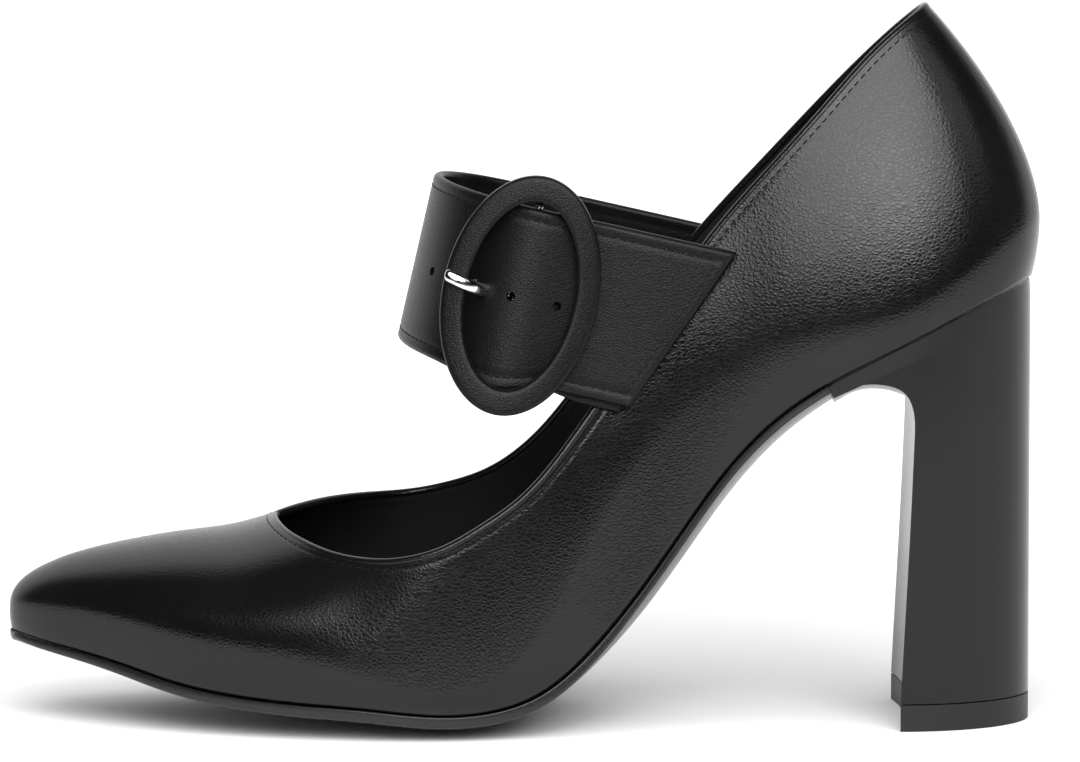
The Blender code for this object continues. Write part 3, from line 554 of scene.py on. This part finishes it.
def crossings(ribs, gaps, frame_normals, level):
    """Points and normals where each rib, followed down from its top, first lies level from the topline."""
    down = gaps[:, ::-1]
    inside = (down[:, 0] < level) & (down.max(axis=1) > level)
    ribs, down, frame_normals = ribs[inside, ::-1], down[inside], frame_normals[inside, ::-1]
    after = np.argmax(down >= level, axis=1)
    index = np.arange(len(down))
    near, far = down[index, after - 1], down[index, after]
    share = ((level - near) / (far - near))[:, None]
    points = (1.0 - share) * ribs[index, after - 1] + share * ribs[index, after]
    away = (1.0 - share) * frame_normals[index, after - 1] + share * frame_normals[index, after]
    return points, unit(away)


def stitches(path, away, sink):
    """Grids[stitch, along, round] of thread: short rounded bars at even steps on a path, sunk a little."""
    walked = length_along(path)
    at = np.arange(0.5 * STITCH_PITCH, walked[-1], STITCH_PITCH)
    place = between(at, walked, path)
    along = unit(between(at, walked, np.gradient(path, axis=0)))
    up = between(at, walked, away)
    up = unit(up - np.sum(up * along, axis=1, keepdims=True) * along)
    side = np.cross(up, along)
    run = np.sin(np.linspace(-np.pi / 2, np.pi / 2, 8))
    turn = np.linspace(0.0, 2.0 * np.pi, 8)
    size = THREAD_RADIUS * np.sqrt(np.maximum(0.0, 1.0 - run ** 4))
    ends = (0.5 * STITCH_LENGTH * run)[None, :, None, None] * along[:, None, None, :]
    wide = (size[:, None] * np.cos(turn))[None, :, :, None] * side[:, None, None, :]
    deep = (size[:, None] * np.sin(turn) - sink)[None, :, :, None] * up[:, None, None, :]
    return place[:, None, None, :] + ends + wide + deep


waxed = {"Base Color": THREAD_BLACK, "Roughness": 0.6, "Specular IOR Level": 0.2}
thread = principled("thread", waxed)[0]
sewn = np.concatenate(crossings(around, edge_gap, normals, SEWN_FROM_EDGE), axis=1)
sewn = smooth_loop(sewn, 1200, 5)
collar_grids = stitches(sewn[:, :3], unit(sewn[:, 3:]), COLLAR_SINK)
collar_thread = piece("collar_stitches", [collar_grids], [thread], sharp=180.0)
fit(collar_thread, "grained_leather")

# Outsole: a thin smooth sole from the toe to the front of the heel, blackened and burnished, glued on.
# Its edge stands a hair proud of the upper and is rounded off.
SOLE_THICK = 2.6
SOLE_TOE_THIN = 1.0
SOLE_TOE_LENGTH = 60.0
SOLE_PROUD = 0.3
SOLE_ROUND_TOP, SOLE_ROUND_LOW = 0.35, 0.6
SOLE_WAIST_X = (2.0, 26.0)
SOLE_WAIST_THIN = 0.9
SOLE_BELLY = 1.5
SOLE_END_X = 68.8
SOLE_BLACK = (0.008, 0.008, 0.008, 1.0)

sole_x = stations(80, 30, 120)
sole_x = np.append(sole_x[sole_x < SOLE_END_X - 0.5], SOLE_END_X)
toe_share = np.clip(1.0 - (sole_x - TOE_X) / SOLE_TOE_LENGTH, 0.0, 1.0)
waist_share = np.clip((sole_x - SOLE_WAIST_X[0]) / (SOLE_WAIST_X[1] - SOLE_WAIST_X[0]), 0.0, 1.0)
sole_thick = SOLE_THICK - SOLE_TOE_THIN * toe_share ** 1.5 - SOLE_WAIST_THIN * waist_share
sole_leather = leather("sole_leather", SOLE_BLACK, 2400.0, 0.1, 0.000006, 0.18, 0.5)
sole_grid = bottom_plate(sole_x, SOLE_PROUD, 0.0, sole_thick, SOLE_ROUND_TOP, SOLE_ROUND_LOW, 44,
                         floor=0.0, belly=SOLE_BELLY * waist_share)
sole = piece("outsole_burnished", [sole_grid], [sole_leather])
fit(sole, "sole_leather", "outsole")

# Heel: a block moulded in plastic and covered in smooth black, with a slightly hollowed breast, arched up
# into a lip under the waist and screwed on from inside. The rubber top piece is pegged underneath.
HEEL_LIP_X = 68.9
HEEL_FRONT_X = 85.7
HEEL_BACK_X = 115.9
HEEL_HALF_WIDTH = 22.0
HEEL_INSET = 0.4
HEEL_SPREAD_Z = 100.0
BREAST_HOLLOW = 2.0
ARCH_SAG = 3.2
ARCH_FROM_Z, ARCH_FULL_Z = 70.0, 85.0
TOP_PIECE_THICK = 6.0
COVER_CELLS, COVER_RELIEF = 2600.0, 0.000004
HEEL_BLACK = (0.0088, 0.0088, 0.0093, 1.0)
RUBBER_BLACK = (0.012, 0.012, 0.012, 1.0)

# Front of the heel from its foot up the breast, round the arch and along the lip, with the height that the
# back of the same level has
HEEL_FRONT = {
    "columns": ("x", "z", "back_z"),
    "rows": (
        (85.7, 6.3, 6.3), (86.7, 27.0, 27.0), (87.7, 48.0, 48.0), (88.4, 66.0, 66.0), (88.3, 72.0, 74.0),
        (87.0, 76.0, 80.0), (84.4, 78.2, 85.0), (80.5, 79.1, 89.0), (75.5, 78.7, 93.0), (70.3, 76.0, 97.0),
    ),
}


def heel_half_width(x, share, back_x, inner):
    """Half width at x on a level that ends at back_x: from the foot's half ellipse to the seat's outline."""
    edge = seam_points(np.linspace(TOE_X, BACK_X, 1500), inner, -HEEL_INSET)
    seat = np.abs(np.interp(x - back_x + BACK_X - HEEL_INSET, edge[:, 0], edge[:, 1], right=0.0))
    passed = np.clip((x - HEEL_FRONT_X) / (back_x - HEEL_FRONT_X), 0.0, 1.0)
    half = (1.0 - share) * HEEL_HALF_WIDTH * np.sqrt(1.0 - passed ** 2) + share * seat
    return half * (x < back_x - 1e-6)


def heel_level(front, back, xi, across, sag=0.0):
    """One level of the heel as points[along, across]: front to back, outer edge to inner edge.

    It widens from the foot's shape to the seat's with its height. The front is hollowed backwards in its
    middle, and hangs lower there by sag.
    """
    place = np.linspace(0.0, 1.0, across)
    x = front[0] + xi * (back[0] - front[0])
    z = front[1] + xi * (back[1] - front[1])
    share = np.clip((z - TOP_PIECE_THICK) / (HEEL_SPREAD_Z - TOP_PIECE_THICK), 0.0, 1.0) ** 1.5
    outer = -heel_half_width(x, share, back[0], False)
    inner = heel_half_width(x, share, back[0], True)
    middle = (1.0 - xi[:, None]) * (1.0 - (2.0 * place - 1.0) ** 2)
    grid = np.empty((len(xi), across, 3))
    grid[..., 0] = x[:, None] + BREAST_HOLLOW * (1.0 - share[:, None]) * middle
    grid[..., 1] = outer[:, None] + (inner - outer)[:, None] * place
    grid[..., 2] = z[:, None] - sag * middle
    return grid


def walls(levels):
    """Grids round a stack of levels: outer wall, inner wall, breast, foot and top."""
    return [levels[:, :, 0], levels[:, :, -1], levels[:, 0, :], levels[0], levels[-1]]


def plain_black(name, black, roughness, mirror, mottling):
    """A smooth black surface, its roughness drifting a little from place to place."""
    material, tree, shader = principled(name, {"Base Color": black, "Specular IOR Level": mirror})
    grain = grained(tree, shader, COVER_CELLS, 0.0, COVER_RELIEF)
    drift = math(tree, "MULTIPLY", grain["Handling"], mottling)
    tree.links.new(math(tree, "ADD", drift, roughness), shader.inputs["Roughness"])
    return material


heel_cover = plain_black("heel_cover", HEEL_BLACK, 0.19, 0.28, 0.04)
top_rubber = plain_black("top_piece_rubber", RUBBER_BLACK, 0.45, 0.36, 0.08)
xi = np.sin(np.linspace(0.0, np.pi / 2, 40))
rows = path_through(HEEL_FRONT["rows"], 70)
back_x = np.interp(rows[:, 2], (rows[0, 2], rows[-1, 2]), (HEEL_BACK_X, BACK_X - 0.5 * HEEL_INSET))
sag = ARCH_SAG * np.clip((rows[:, 2] - ARCH_FROM_Z) / (ARCH_FULL_Z - ARCH_FROM_Z), 0.0, 1.0)
levels = [heel_level(rows[k, :2], (back_x[k], rows[k, 2]), xi, 24, sag[k]) for k in range(len(rows))]
seat = heel_level((HEEL_LIP_X, HEEL_SPREAD_Z), (BACK_X - HEEL_INSET, HEEL_SPREAD_Z), xi, 24)
seat[..., 2] = bottom_z(seat[..., 0], seat[..., 1]) - GAP
heel = piece("heel_covered", walls(np.stack(levels + [seat])), [heel_cover])
fit(heel, "heel_cover", "heel_block")
foot = [heel_level((HEEL_FRONT_X, z), (HEEL_BACK_X, z), xi, 24) for z in (0.0, 0.4, 5.6, TOP_PIECE_THICK)]
top_piece = piece("heel_top_rubber", walls(np.stack(foot)), [top_rubber])
fit(top_piece, "top_piece_rubber", "heel_top_piece")

# Strap: two layers of fine black leather folded at the edges and sewn, 38.6 mm wide. It is sewn to the
# inner quarter, goes round the front of the instep and lies on the outer quarter with a slanted free end.
STRAP_WIDTH = 38.6
STRAP_THICK = 2.2
STRAP_TILT = np.radians(12.9)
STRAP_NOSE = (-23.75, 0.0, 105.8)
STRAP_FLARE = 0.0044
STRAP_START, STRAP_START_SLANT = 60.0, 0.30
STRAP_END, STRAP_END_SLANT = 61.7, 0.406
STRAP_SEWN = 2.7
STRAP_SEWN_FROM = 2.0
STRAP_FURROW, FURROW_WIDTH = 0.16, 0.6
EDGE_SINK, END_SINK = 0.14, 0.08
STRAP_HOLES = (5.2, 22.6, 32.7)
HOLE_RADIUS = 1.0
PRONG_SLOT = (13.0, 17.6)
PRONG_SLOT_RADIUS = 1.55
PRONG_UP = -0.9
PUNCH = 4.0
STRAP_SAG, STRAP_SAG_AT, STRAP_SAG_LENGTH = 2.9, 22.5, 8.0
STRAP_BLACK = (0.0044, 0.0044, 0.0051, 1.0)

# Middle of the strap's thickness in its own plane, from the inner quarter round the instep to the free end
STRAP_PATH = {
    "columns": ("along", "across"),
    "rows": (
        (74.0, 24.2), (62.0, 24.5), (50.0, 24.3), (36.0, 23.8), (22.0, 23.0), (11.0, 20.2), (4.2, 13.4),
        (1.1, 1.5), (2.6, -9.5), (6.4, -18.0), (11.4, -24.0), (17.4, -28.0), (24.4, -29.8), (32.0, -28.9),
        (40.0, -27.7), (50.0, -27.4), (62.0, -27.0), (74.0, -26.2),
    ),
}


def strap_to_shoe(points):
    """From the strap's plane (along, up its width, across the shoe) to the shoe, with the strap's flare."""
    along, up, across = points[..., 0], points[..., 1], points[..., 2]
    x = STRAP_NOSE[0] + along * np.cos(STRAP_TILT) + up * np.sin(STRAP_TILT)
    z = STRAP_NOSE[2] - along * np.sin(STRAP_TILT) + up * np.cos(STRAP_TILT)
    y = STRAP_NOSE[1] + across * (1.0 - STRAP_FLARE * up)
    return np.stack([x, y, z], axis=-1)


def quarter_turn(along):
    """Directions in the plane turned a quarter to the left."""
    return np.stack([-along[:, 1], along[:, 0]], axis=1)


strap_line = path_through(STRAP_PATH["rows"], 4000)
strap_along = unit(np.gradient(strap_line, axis=0))
strap_index = np.arange(len(strap_line))
strap_step = length_along(strap_line)[-1] / (len(strap_line) - 1)
strap_nose = np.argmin(strap_line[:, 0])


def place_on(lateral, along):
    """Number of the place on the strap's outer or inner run that lies this far along."""
    run = strap_line[strap_nose:, 0] if lateral else strap_line[strap_nose::-1, 0]
    place = np.interp(along, run, np.arange(len(run)))
    return strap_nose + place if lateral else strap_nose - place


def strap_section(height, thick, sewn_at, furrow):
    """Section of a sewn band, up and off it: two flat faces, half-round edges and a furrow by each edge."""
    r = 0.5 * thick
    flat = (0.5 * height - r) * np.sin(np.linspace(-np.pi / 2, np.pi / 2, 46))
    dent = furrow * np.exp(-((0.5 * height - sewn_at - np.abs(flat)) / FURROW_WIDTH) ** 2)
    turn = np.linspace(-np.pi / 2, np.pi / 2, 9)[1:-1]
    edge_up, edge_off = 0.5 * height - r + r * np.cos(turn), r * np.sin(turn)
    up = np.concatenate([flat, edge_up, flat[::-1], -edge_up, flat[:1]])
    off = np.concatenate([dent - r, edge_off, r - dent, -edge_off, dent[:1] - r])
    return up, off


def on_strap(number, up, off):
    """Points of the shoe beside the strap's line at these places, up its width and off its middle.

    Behind the buckle's ring the lower edge sags a little.
    """
    place = between(number, strap_index, strap_line)
    passed = (place[..., 0] - STRAP_SAG_AT) / STRAP_SAG_LENGTH
    lower = np.clip(-2.0 * up / STRAP_WIDTH, 0.0, 1.0) ** 2
    up = up - STRAP_SAG * np.exp(-passed ** 2) * lower * (number > strap_nose)
    place = place + off[..., None] * between(number, strap_index, quarter_turn(strap_along))
    return strap_to_shoe(np.stack([place[..., 0], up, place[..., 1]], axis=-1))


def rounded_ends(count, ends, total):
    """Places between 0 and 1, closer where an end is rounded, and the share of the thickness there."""
    turn = np.linspace(0.0, np.pi / 2, 7)
    near = ends * (1.0 - np.cos(turn)) / total
    inside = np.linspace(ends / total, 1.0 - ends / total, count)[1:-1]
    share = np.concatenate([np.sin(turn), np.ones(count - 2), np.sin(turn)[::-1]])
    return np.concatenate([near, inside, 1.0 - near[::-1]]), share


up, off = strap_section(STRAP_WIDTH, STRAP_THICK, STRAP_SEWN, STRAP_FURROW)
first = place_on(False, STRAP_START + STRAP_START_SLANT * up)
last = place_on(True, STRAP_END + STRAP_END_SLANT * up)
run, full = rounded_ends(260, 0.5 * STRAP_THICK, (last - first).mean() * strap_step)
number = first[None, :] + (last - first)[None, :] * run[:, None]
strap_grid = on_strap(number, up[None, :], off[None, :] * full[:, None])
strap_leather = leather("strap_leather", STRAP_BLACK, 1500.0, 0.15, 0.000026, 0.28, 0.2)
strap = piece("strap_sewn", [strap_grid], [strap_leather])


def punch(begin, end, radius):
    """Grid of a punch square to the strap's outer run, long enough for a slot between begin and end."""
    middle = place_on(True, 0.5 * (begin + end))
    turn = np.linspace(0.0, 2.0 * np.pi, 41)
    stretch = max(0.5 * (end - begin) - radius, 0.0)
    long_way = radius * np.cos(turn) + stretch * np.sign(np.round(np.cos(turn), 6))
    size = np.array((0.0, 1.0, 1.0, 0.0))[:, None]
    reach = np.array((-PUNCH, -PUNCH, PUNCH, PUNCH))[:, None]
    at = between(middle, strap_index, strap_line)
    along = between(middle, strap_index, strap_along)
    place_along = at[0] - reach * along[1] + size * long_way * along[0]
    place_up = PRONG_UP + size * radius * np.sin(turn)
    place_across = at[1] + reach * along[0] + size * long_way * along[1]
    return strap_to_shoe(np.stack([place_along, place_up, place_across], axis=-1))


def cut_out(obj, grids):
    """Cut closed shapes out of an object for good."""
    for grid in grids:
        tool = piece("cutting_tool", [grid], [obj.data.materials[0]])
        cut = obj.modifiers.new("cut", "BOOLEAN")
        cut.operation = "DIFFERENCE"
        cut.object = tool
        bpy.context.view_layer.update()
        whole = obj.evaluated_get(bpy.context.evaluated_depsgraph_get())
        old, mesh = obj.data, bpy.data.meshes.new_from_object(whole)
        obj.modifiers.clear()
        obj.data = mesh
        bpy.data.meshes.remove(old)
        bpy.data.objects.remove(tool, do_unlink=True)
    obj.data.set_sharp_from_angle(angle=np.radians(SHARP_EDGE))


holes = [punch(hole, hole, HOLE_RADIUS) for hole in STRAP_HOLES]
cut_out(strap, holes + [punch(*PRONG_SLOT, PRONG_SLOT_RADIUS)])
fit(strap, "strap_leather", "strap")


def sewn_on_strap(number, up, sink):
    """Stitches on the strap's outer face through these places."""
    off = np.full(len(number), -0.5 * STRAP_THICK)
    face = on_strap(number, up, off)
    return stitches(face, unit(on_strap(number, up, off - 1.0) - face), sink)


sewn_up = 0.5 * STRAP_WIDTH - STRAP_SEWN
sewn_grids = []
for height in (-sewn_up, sewn_up):
    begin = place_on(False, STRAP_START + STRAP_START_SLANT * height) + STRAP_SEWN_FROM / strap_step
    end = place_on(True, STRAP_END + STRAP_END_SLANT * height) - STRAP_SEWN / strap_step
    sewn_grids.append(sewn_on_strap(np.linspace(begin, end, 400), height, EDGE_SINK))
heights = np.linspace(-sewn_up, sewn_up, 200)
numbers = place_on(True, STRAP_END + STRAP_END_SLANT * heights) - STRAP_SEWN / strap_step
sewn_grids.append(sewn_on_strap(numbers, heights, END_SINK))
strap_thread = piece("strap_stitches", sewn_grids, [thread], sharp=180.0)
fit(strap_thread, "strap_leather")

# Buckle tab: a shorter strap of the same leather under the long one, sewn to the outer quarter and turned
# round the buckle's bar.
TAB_END = 52.0
TAB_LOW, TAB_HIGH = -21.2, 16.5
TAB_HALF = 19.0
TAB_THICK = 1.5
TAB_TAPER = 2.2
TAB_SLOT = (12.0, 4.5)
TAB_SLOT_ROOM = 0.8
BAR_AT = (24.4, -25.0)
BAR_RADIUS = 1.0
PRONG_WIDTH = 2.8


def bent_round_bar(reach, begin, end, count):
    """Places on an arc round the buckle's bar, reach from its middle, between two angles in degrees."""
    turn = np.radians(np.linspace(begin, end, count))
    return np.stack([BAR_AT[0] + reach * np.cos(turn), BAR_AT[1] + reach * np.sin(turn)], axis=1)


def beside(path, up, off):
    """Points of the shoe up the strap's width from a path in its plane, and off the path squarely."""
    side = quarter_turn(unit(np.gradient(path, axis=0)))
    place_along = path[:, :1] + off * side[:, :1]
    return strap_to_shoe(np.stack([place_along, up, path[:, 1:] + off * side[:, 1:]], axis=-1))


def band(path, low, high, thick, share):
    """Grid[along, round] of a band on a path in the strap's plane, with half-round edges and thinned ends.

    The section is drawn for a band of half width 1 and stretched to its place.
    """
    up, off = strap_section(2.0, thick / TAB_HALF, 0.0, 0.0)
    place_up = 0.5 * (low + high)[:, None] + 0.5 * (high - low)[:, None] * up[None, :]
    return beside(path, place_up, TAB_HALF * share[:, None] * off[None, :])


under = 0.5 * (STRAP_THICK + TAB_THICK) + GAP
reach = BAR_RADIUS + GAP + 0.5 * TAB_THICK
runs = ((TAB_END, 0.1), (47.0, 0.1), (42.0, 0.2), (35.0, 0.5), (31.0, 0.8), (27.5, 0.7))
outside = [(along, np.interp(place_on(True, along), strap_index, strap_line[:, 1]) + under + spare)
           for along, spare in runs]
turned = bent_round_bar(reach, 265.0, 95.0, 11)
inside = [(along, BAR_AT[1] + reach + drop) for along, drop in ((27.5, -0.1), (31.0, -0.3), (36.0, 0.0))]
tab_path = path_through(np.concatenate([outside, turned, inside]), 400)
tab_length = length_along(tab_path)
run, full = rounded_ends(150, 0.5 * TAB_THICK, tab_length[-1])
tab_path = between(run * tab_length[-1], tab_length, tab_path)
tab_low = np.interp(tab_path[:, 0], (30.0, 42.0), (TAB_LOW + TAB_TAPER, TAB_LOW))
tab_grid = band(tab_path, tab_low, np.full(len(tab_path), TAB_HIGH), TAB_THICK, full)
tab = piece("buckle_tab_sewn", [tab_grid], [strap_leather])
slot_half = 0.5 * PRONG_WIDTH + TAB_SLOT_ROOM
slot_up = PRONG_UP + slot_half * np.array((-1.0, 1.0, 1.0, -1.0, -1.0))
slot_across = BAR_AT[1] + 0.5 * TAB_SLOT[0] * np.array((-1.0, -1.0, 1.0, 1.0, -1.0))
slot_ends = (BAR_AT[0] - TAB_SLOT[0], BAR_AT[0] + TAB_SLOT[1])
slot_grid = np.stack([np.stack([np.full(5, end), slot_up, slot_across], axis=1) for end in slot_ends])
cut_out(tab, [strap_to_shoe(slot_grid)])
fit(tab, "strap_leather", "buckle_tab")

# Buckle: an oval ring of wood covered in the strap's leather, a steel bar behind it and a polished prong
# that comes up through the strap and lies over the ring's front.
RING_OUTER = (17.4, 26.8)
RING_INNER = (12.2, 21.0)
RING_THICK = 3.2
RING_BACK_Y = -31.2
RING_BEND = 0.006
RING_CORNER = 0.42
BAR_BEND, BAR_OVER_RING = 3.4, 2.3
PRONG_THICK = 1.6
PRONG_TIP, PRONG_CORNER = 1.2, 0.8
PRONG_LEAN, PRONG_ROOT = 0.22, 16.4
STEEL = (0.80, 0.80, 0.81, 1.0)

# The prong: bent round the bar, up through the strap and over the ring, as places along and across
PRONG_PATH = {
    "columns": ("along", "across"),
    "rows": (
        (20.4, -26.1), (18.7, -26.6), (17.0, -28.4), (15.6, -31.2), (14.0, -33.4), (11.8, -34.6),
        (9.4, -34.8), (6.9, -34.4),
    ),
}


def squared(wave, power):
    """A sine or cosine with fuller corners: its size to a power below one, with its sign."""
    return np.sign(wave) * np.abs(wave) ** power


turn = np.linspace(0.0, 2.0 * np.pi, 181)
section = np.linspace(0.0, 2.0 * np.pi, 49)
wide, deep = squared(np.cos(section), RING_CORNER), squared(np.sin(section), RING_CORNER)
mid = 0.5 * np.add(RING_OUTER, RING_INNER)
half_band = 0.5 * np.subtract(RING_OUTER, RING_INNER)
ring_along = np.cos(turn)[:, None] * (mid[0] + half_band[0] * wide[None, :])
ring_up = np.sin(turn)[:, None] * (mid[1] + half_band[1] * wide[None, :])
ring_across = RING_BACK_Y - 0.5 * RING_THICK * (1.0 - deep[None, :]) + RING_BEND * ring_along ** 2
ring_grid = strap_to_shoe(np.stack([BAR_AT[0] + ring_along, ring_up, ring_across], axis=2))
ring = piece("buckle_ring", [ring_grid], [strap_leather])
fit(ring, "strap_leather", "buckle_frame")

# Polished steel, its roughness drifting a little
steel, tree, shader = principled("polished_steel", {"Base Color": STEEL, "Metallic": 1.0})
place = node(tree, "ShaderNodeTexCoord").outputs["Object"]
cloud = node(tree, "ShaderNodeTexNoise", {"Vector": place, "Scale": 600.0}).outputs["Fac"]
tree.links.new(ramp(tree, cloud, 0.3, 0.7, 0.12, 0.2), shader.inputs["Roughness"])
bar_end = RING_INNER[1] + BAR_OVER_RING
bar_tip = RING_BACK_Y + GAP
bar_rows = ((-bar_end, bar_tip), (-bar_end, bar_tip + 1.7), (0.4 * BAR_BEND - bar_end, BAR_AT[1] - 1.1),
            (BAR_BEND - bar_end, BAR_AT[1]))
bar_rows = bar_rows + tuple((-place, across) for place, across in bar_rows[::-1])
bar_path = even_steps(np.array(bar_rows), 160)
bar_path[1:-1] = 0.25 * bar_path[:-2] + 0.5 * bar_path[1:-1] + 0.25 * bar_path[2:]
bar_along = unit(np.gradient(bar_path, axis=0))
bar_normal = np.stack([0.0 * bar_along[:, 0], -bar_along[:, 1], bar_along[:, 0]], axis=1)
bar_side = np.broadcast_to((1.0, 0.0, 0.0), bar_normal.shape)
bar_centre = np.stack([np.full(160, BAR_AT[0]), bar_path[:, 0], bar_path[:, 1]], axis=1)
bar_grid = strap_to_shoe(tube(bar_centre, bar_side, bar_normal, BAR_RADIUS, 20))
bar = piece("buckle_bar_round", [bar_grid], [steel])
fit(bar, "polished_steel", "buckle_bar")

reach = BAR_RADIUS + GAP + 0.5 * PRONG_THICK
prong_bend = bent_round_bar(reach, -60.0, 200.0, 14)
prong_path = path_through(np.concatenate([prong_bend, PRONG_PATH["rows"]]), 160)
left = length_along(prong_path)[-1] - length_along(prong_path)
taper = np.sqrt(np.clip(1.0 - (1.0 - np.clip(left / PRONG_TIP, 0.0, 1.0)) ** 2, 0.0, 1.0))[:, None]
turn = np.linspace(0.0, 2.0 * np.pi, 33)
prong_middle = PRONG_UP + PRONG_LEAN * np.maximum(0.0, PRONG_ROOT - prong_path[:, :1])
prong_up = prong_middle + 0.5 * PRONG_WIDTH * taper * np.cos(turn)
prong_off = 0.5 * PRONG_THICK * taper * squared(np.sin(turn), PRONG_CORNER)
prong = piece("buckle_prong_round", [beside(prong_path, prong_up, prong_off)], [steel])
fit(prong, "polished_steel", "buckle_prong")

# Studio: a white table that runs back without a horizon to a white wall. A soft key light with a bright heart
# stands above the camera's right, a broad dim one over it, and a third lights the floor but isn't mirrored.
# A black cloth on the table in front and the dark room behind the camera shape the reflections.
TABLE_HALF = 6.0
# Painted glow of the table: emission that stands in for light, rising towards the back and full from this
# depth
TABLE_PAINTED_GLOW, TABLE_PAINTED_GLOW_FULL_Y = 0.4, 0.7
CLOTH_FROM_Y, CLOTH_LIFT = -0.52, 0.001
CAMERA_AT = (0.0044, -1.6, 0.282)
CAMERA_AIM = (0.0044, 0.0, 0.077)
CAMERA_LENS = 236.6
ROOM_LIGHT = 0.55
WALL_LIGHT = 1.1


def flat_sheet(name, y_from, y_to, z, material):
    """A level rectangle as wide as the table, between two depths."""
    mesh = bpy.data.meshes.new(name)
    near = [(-TABLE_HALF, y_from, z), (TABLE_HALF, y_from, z)]
    far = [(TABLE_HALF, y_to, z), (-TABLE_HALF, y_to, z)]
    mesh.from_pydata(near + far, [], [(0, 1, 2, 3)])
    mesh.materials.append(material)
    sheet = bpy.data.objects.new(name, mesh)
    bpy.context.scene.collection.objects.link(sheet)
    return sheet


# Matt white card with a painted glow: its emission rises towards the back, a painted brightening that stands
# in for light so that it ends in pure white
card = {"Base Color": (0.92, 0.92, 0.915, 1.0), "Roughness": 0.9, "Specular IOR Level": 0.1,
        "Emission Color": (1.0, 1.0, 1.0, 1.0)}
white_card, tree, shader = principled("white_table", card)
place = node(tree, "ShaderNodeSeparateXYZ", {0: node(tree, "ShaderNodeTexCoord").outputs["Object"]})
painted_glow = ramp(tree, place.outputs["Y"], 0.0, TABLE_PAINTED_GLOW_FULL_Y, 0.0, TABLE_PAINTED_GLOW)
tree.links.new(painted_glow, shader.inputs["Emission Strength"])
flat_sheet("table", -TABLE_HALF, TABLE_HALF, 0.0, white_card)

# Black cloth that only darkens reflections, as photographers use to shape highlights
cloth = {"Base Color": (0.003, 0.003, 0.003, 1.0), "Roughness": 1.0, "Specular IOR Level": 0.0}
low_flag = flat_sheet("low_flag", -TABLE_HALF, CLOTH_FROM_Y, CLOTH_LIFT, principled("low_flag", cloth)[0])
low_flag.visible_camera = False
low_flag.visible_diffuse = False
low_flag.visible_shadow = False


def facing(at, aim):
    """The turn that points a light or camera from one place to another."""
    return (Vector(aim) - Vector(at)).to_track_quat("-Z", "Y")


def soft_light(name, at, aim, size, power, roll=0.0, mirrored=True):
    """A rectangular soft light, rolled about its aim, that the camera doesn't see and reflections may."""
    data = bpy.data.lights.new(name, "AREA")
    data.shape = "RECTANGLE"
    data.size, data.size_y = size
    data.energy = power
    lamp = bpy.data.objects.new(name, data)
    lamp.location = at
    lamp.rotation_euler = (facing(at, aim) @ Quaternion((0.0, 0.0, 1.0), np.radians(roll))).to_euler()
    lamp.visible_camera = False
    lamp.visible_glossy = mirrored
    bpy.context.scene.collection.objects.link(lamp)


soft_light("key_light", (0.19, -1.49, 1.0), (0.04, 0.0, 0.1), (1.42, 1.02), 22.5, 18.0)
soft_light("key_heart", (0.3, -1.5, 0.66), (0.06, 0.0, 0.1), (0.42, 0.28), 1.7)
soft_light("broad_light", (0.45, -1.6, 1.5), (0.1, 0.0, 0.1), (3.6, 0.8), 9.0)
soft_light("floor_light", (0.0, -1.2, 2.6), (0.0, 0.0, 0.0), (3.0, 2.0), 52.0, mirrored=False)

world = bpy.data.worlds.new("room")
world.use_nodes = True
tree = world.node_tree
way = node(tree, "ShaderNodeSeparateXYZ", {0: node(tree, "ShaderNodeTexCoord").outputs["Generated"]})
mirrored = node(tree, "ShaderNodeLightPath").outputs["Is Glossy Ray"]
wall_share = ramp(tree, way.outputs["Y"], 0.2, 0.55, 0.0, WALL_LIGHT)
change = math(tree, "MULTIPLY", mirrored, math(tree, "SUBTRACT", wall_share, ROOM_LIGHT))
tree.links.new(math(tree, "ADD", change, ROOM_LIGHT), tree.nodes["Background"].inputs["Strength"])
tree.nodes["Background"].inputs["Color"].default_value = (1.0, 1.0, 1.0, 1.0)
bpy.context.scene.world = world

data = bpy.data.cameras.new("camera")
data.sensor_fit = "HORIZONTAL"
data.sensor_width = 36.0
data.lens = CAMERA_LENS
data.clip_end = 40.0
camera = bpy.data.objects.new("camera", data)
camera.location = CAMERA_AT
camera.rotation_euler = facing(CAMERA_AT, CAMERA_AIM).to_euler()
bpy.context.scene.collection.objects.link(camera)
bpy.context.scene.camera = camera
bpy.context.scene.view_settings.view_transform = "Standard"
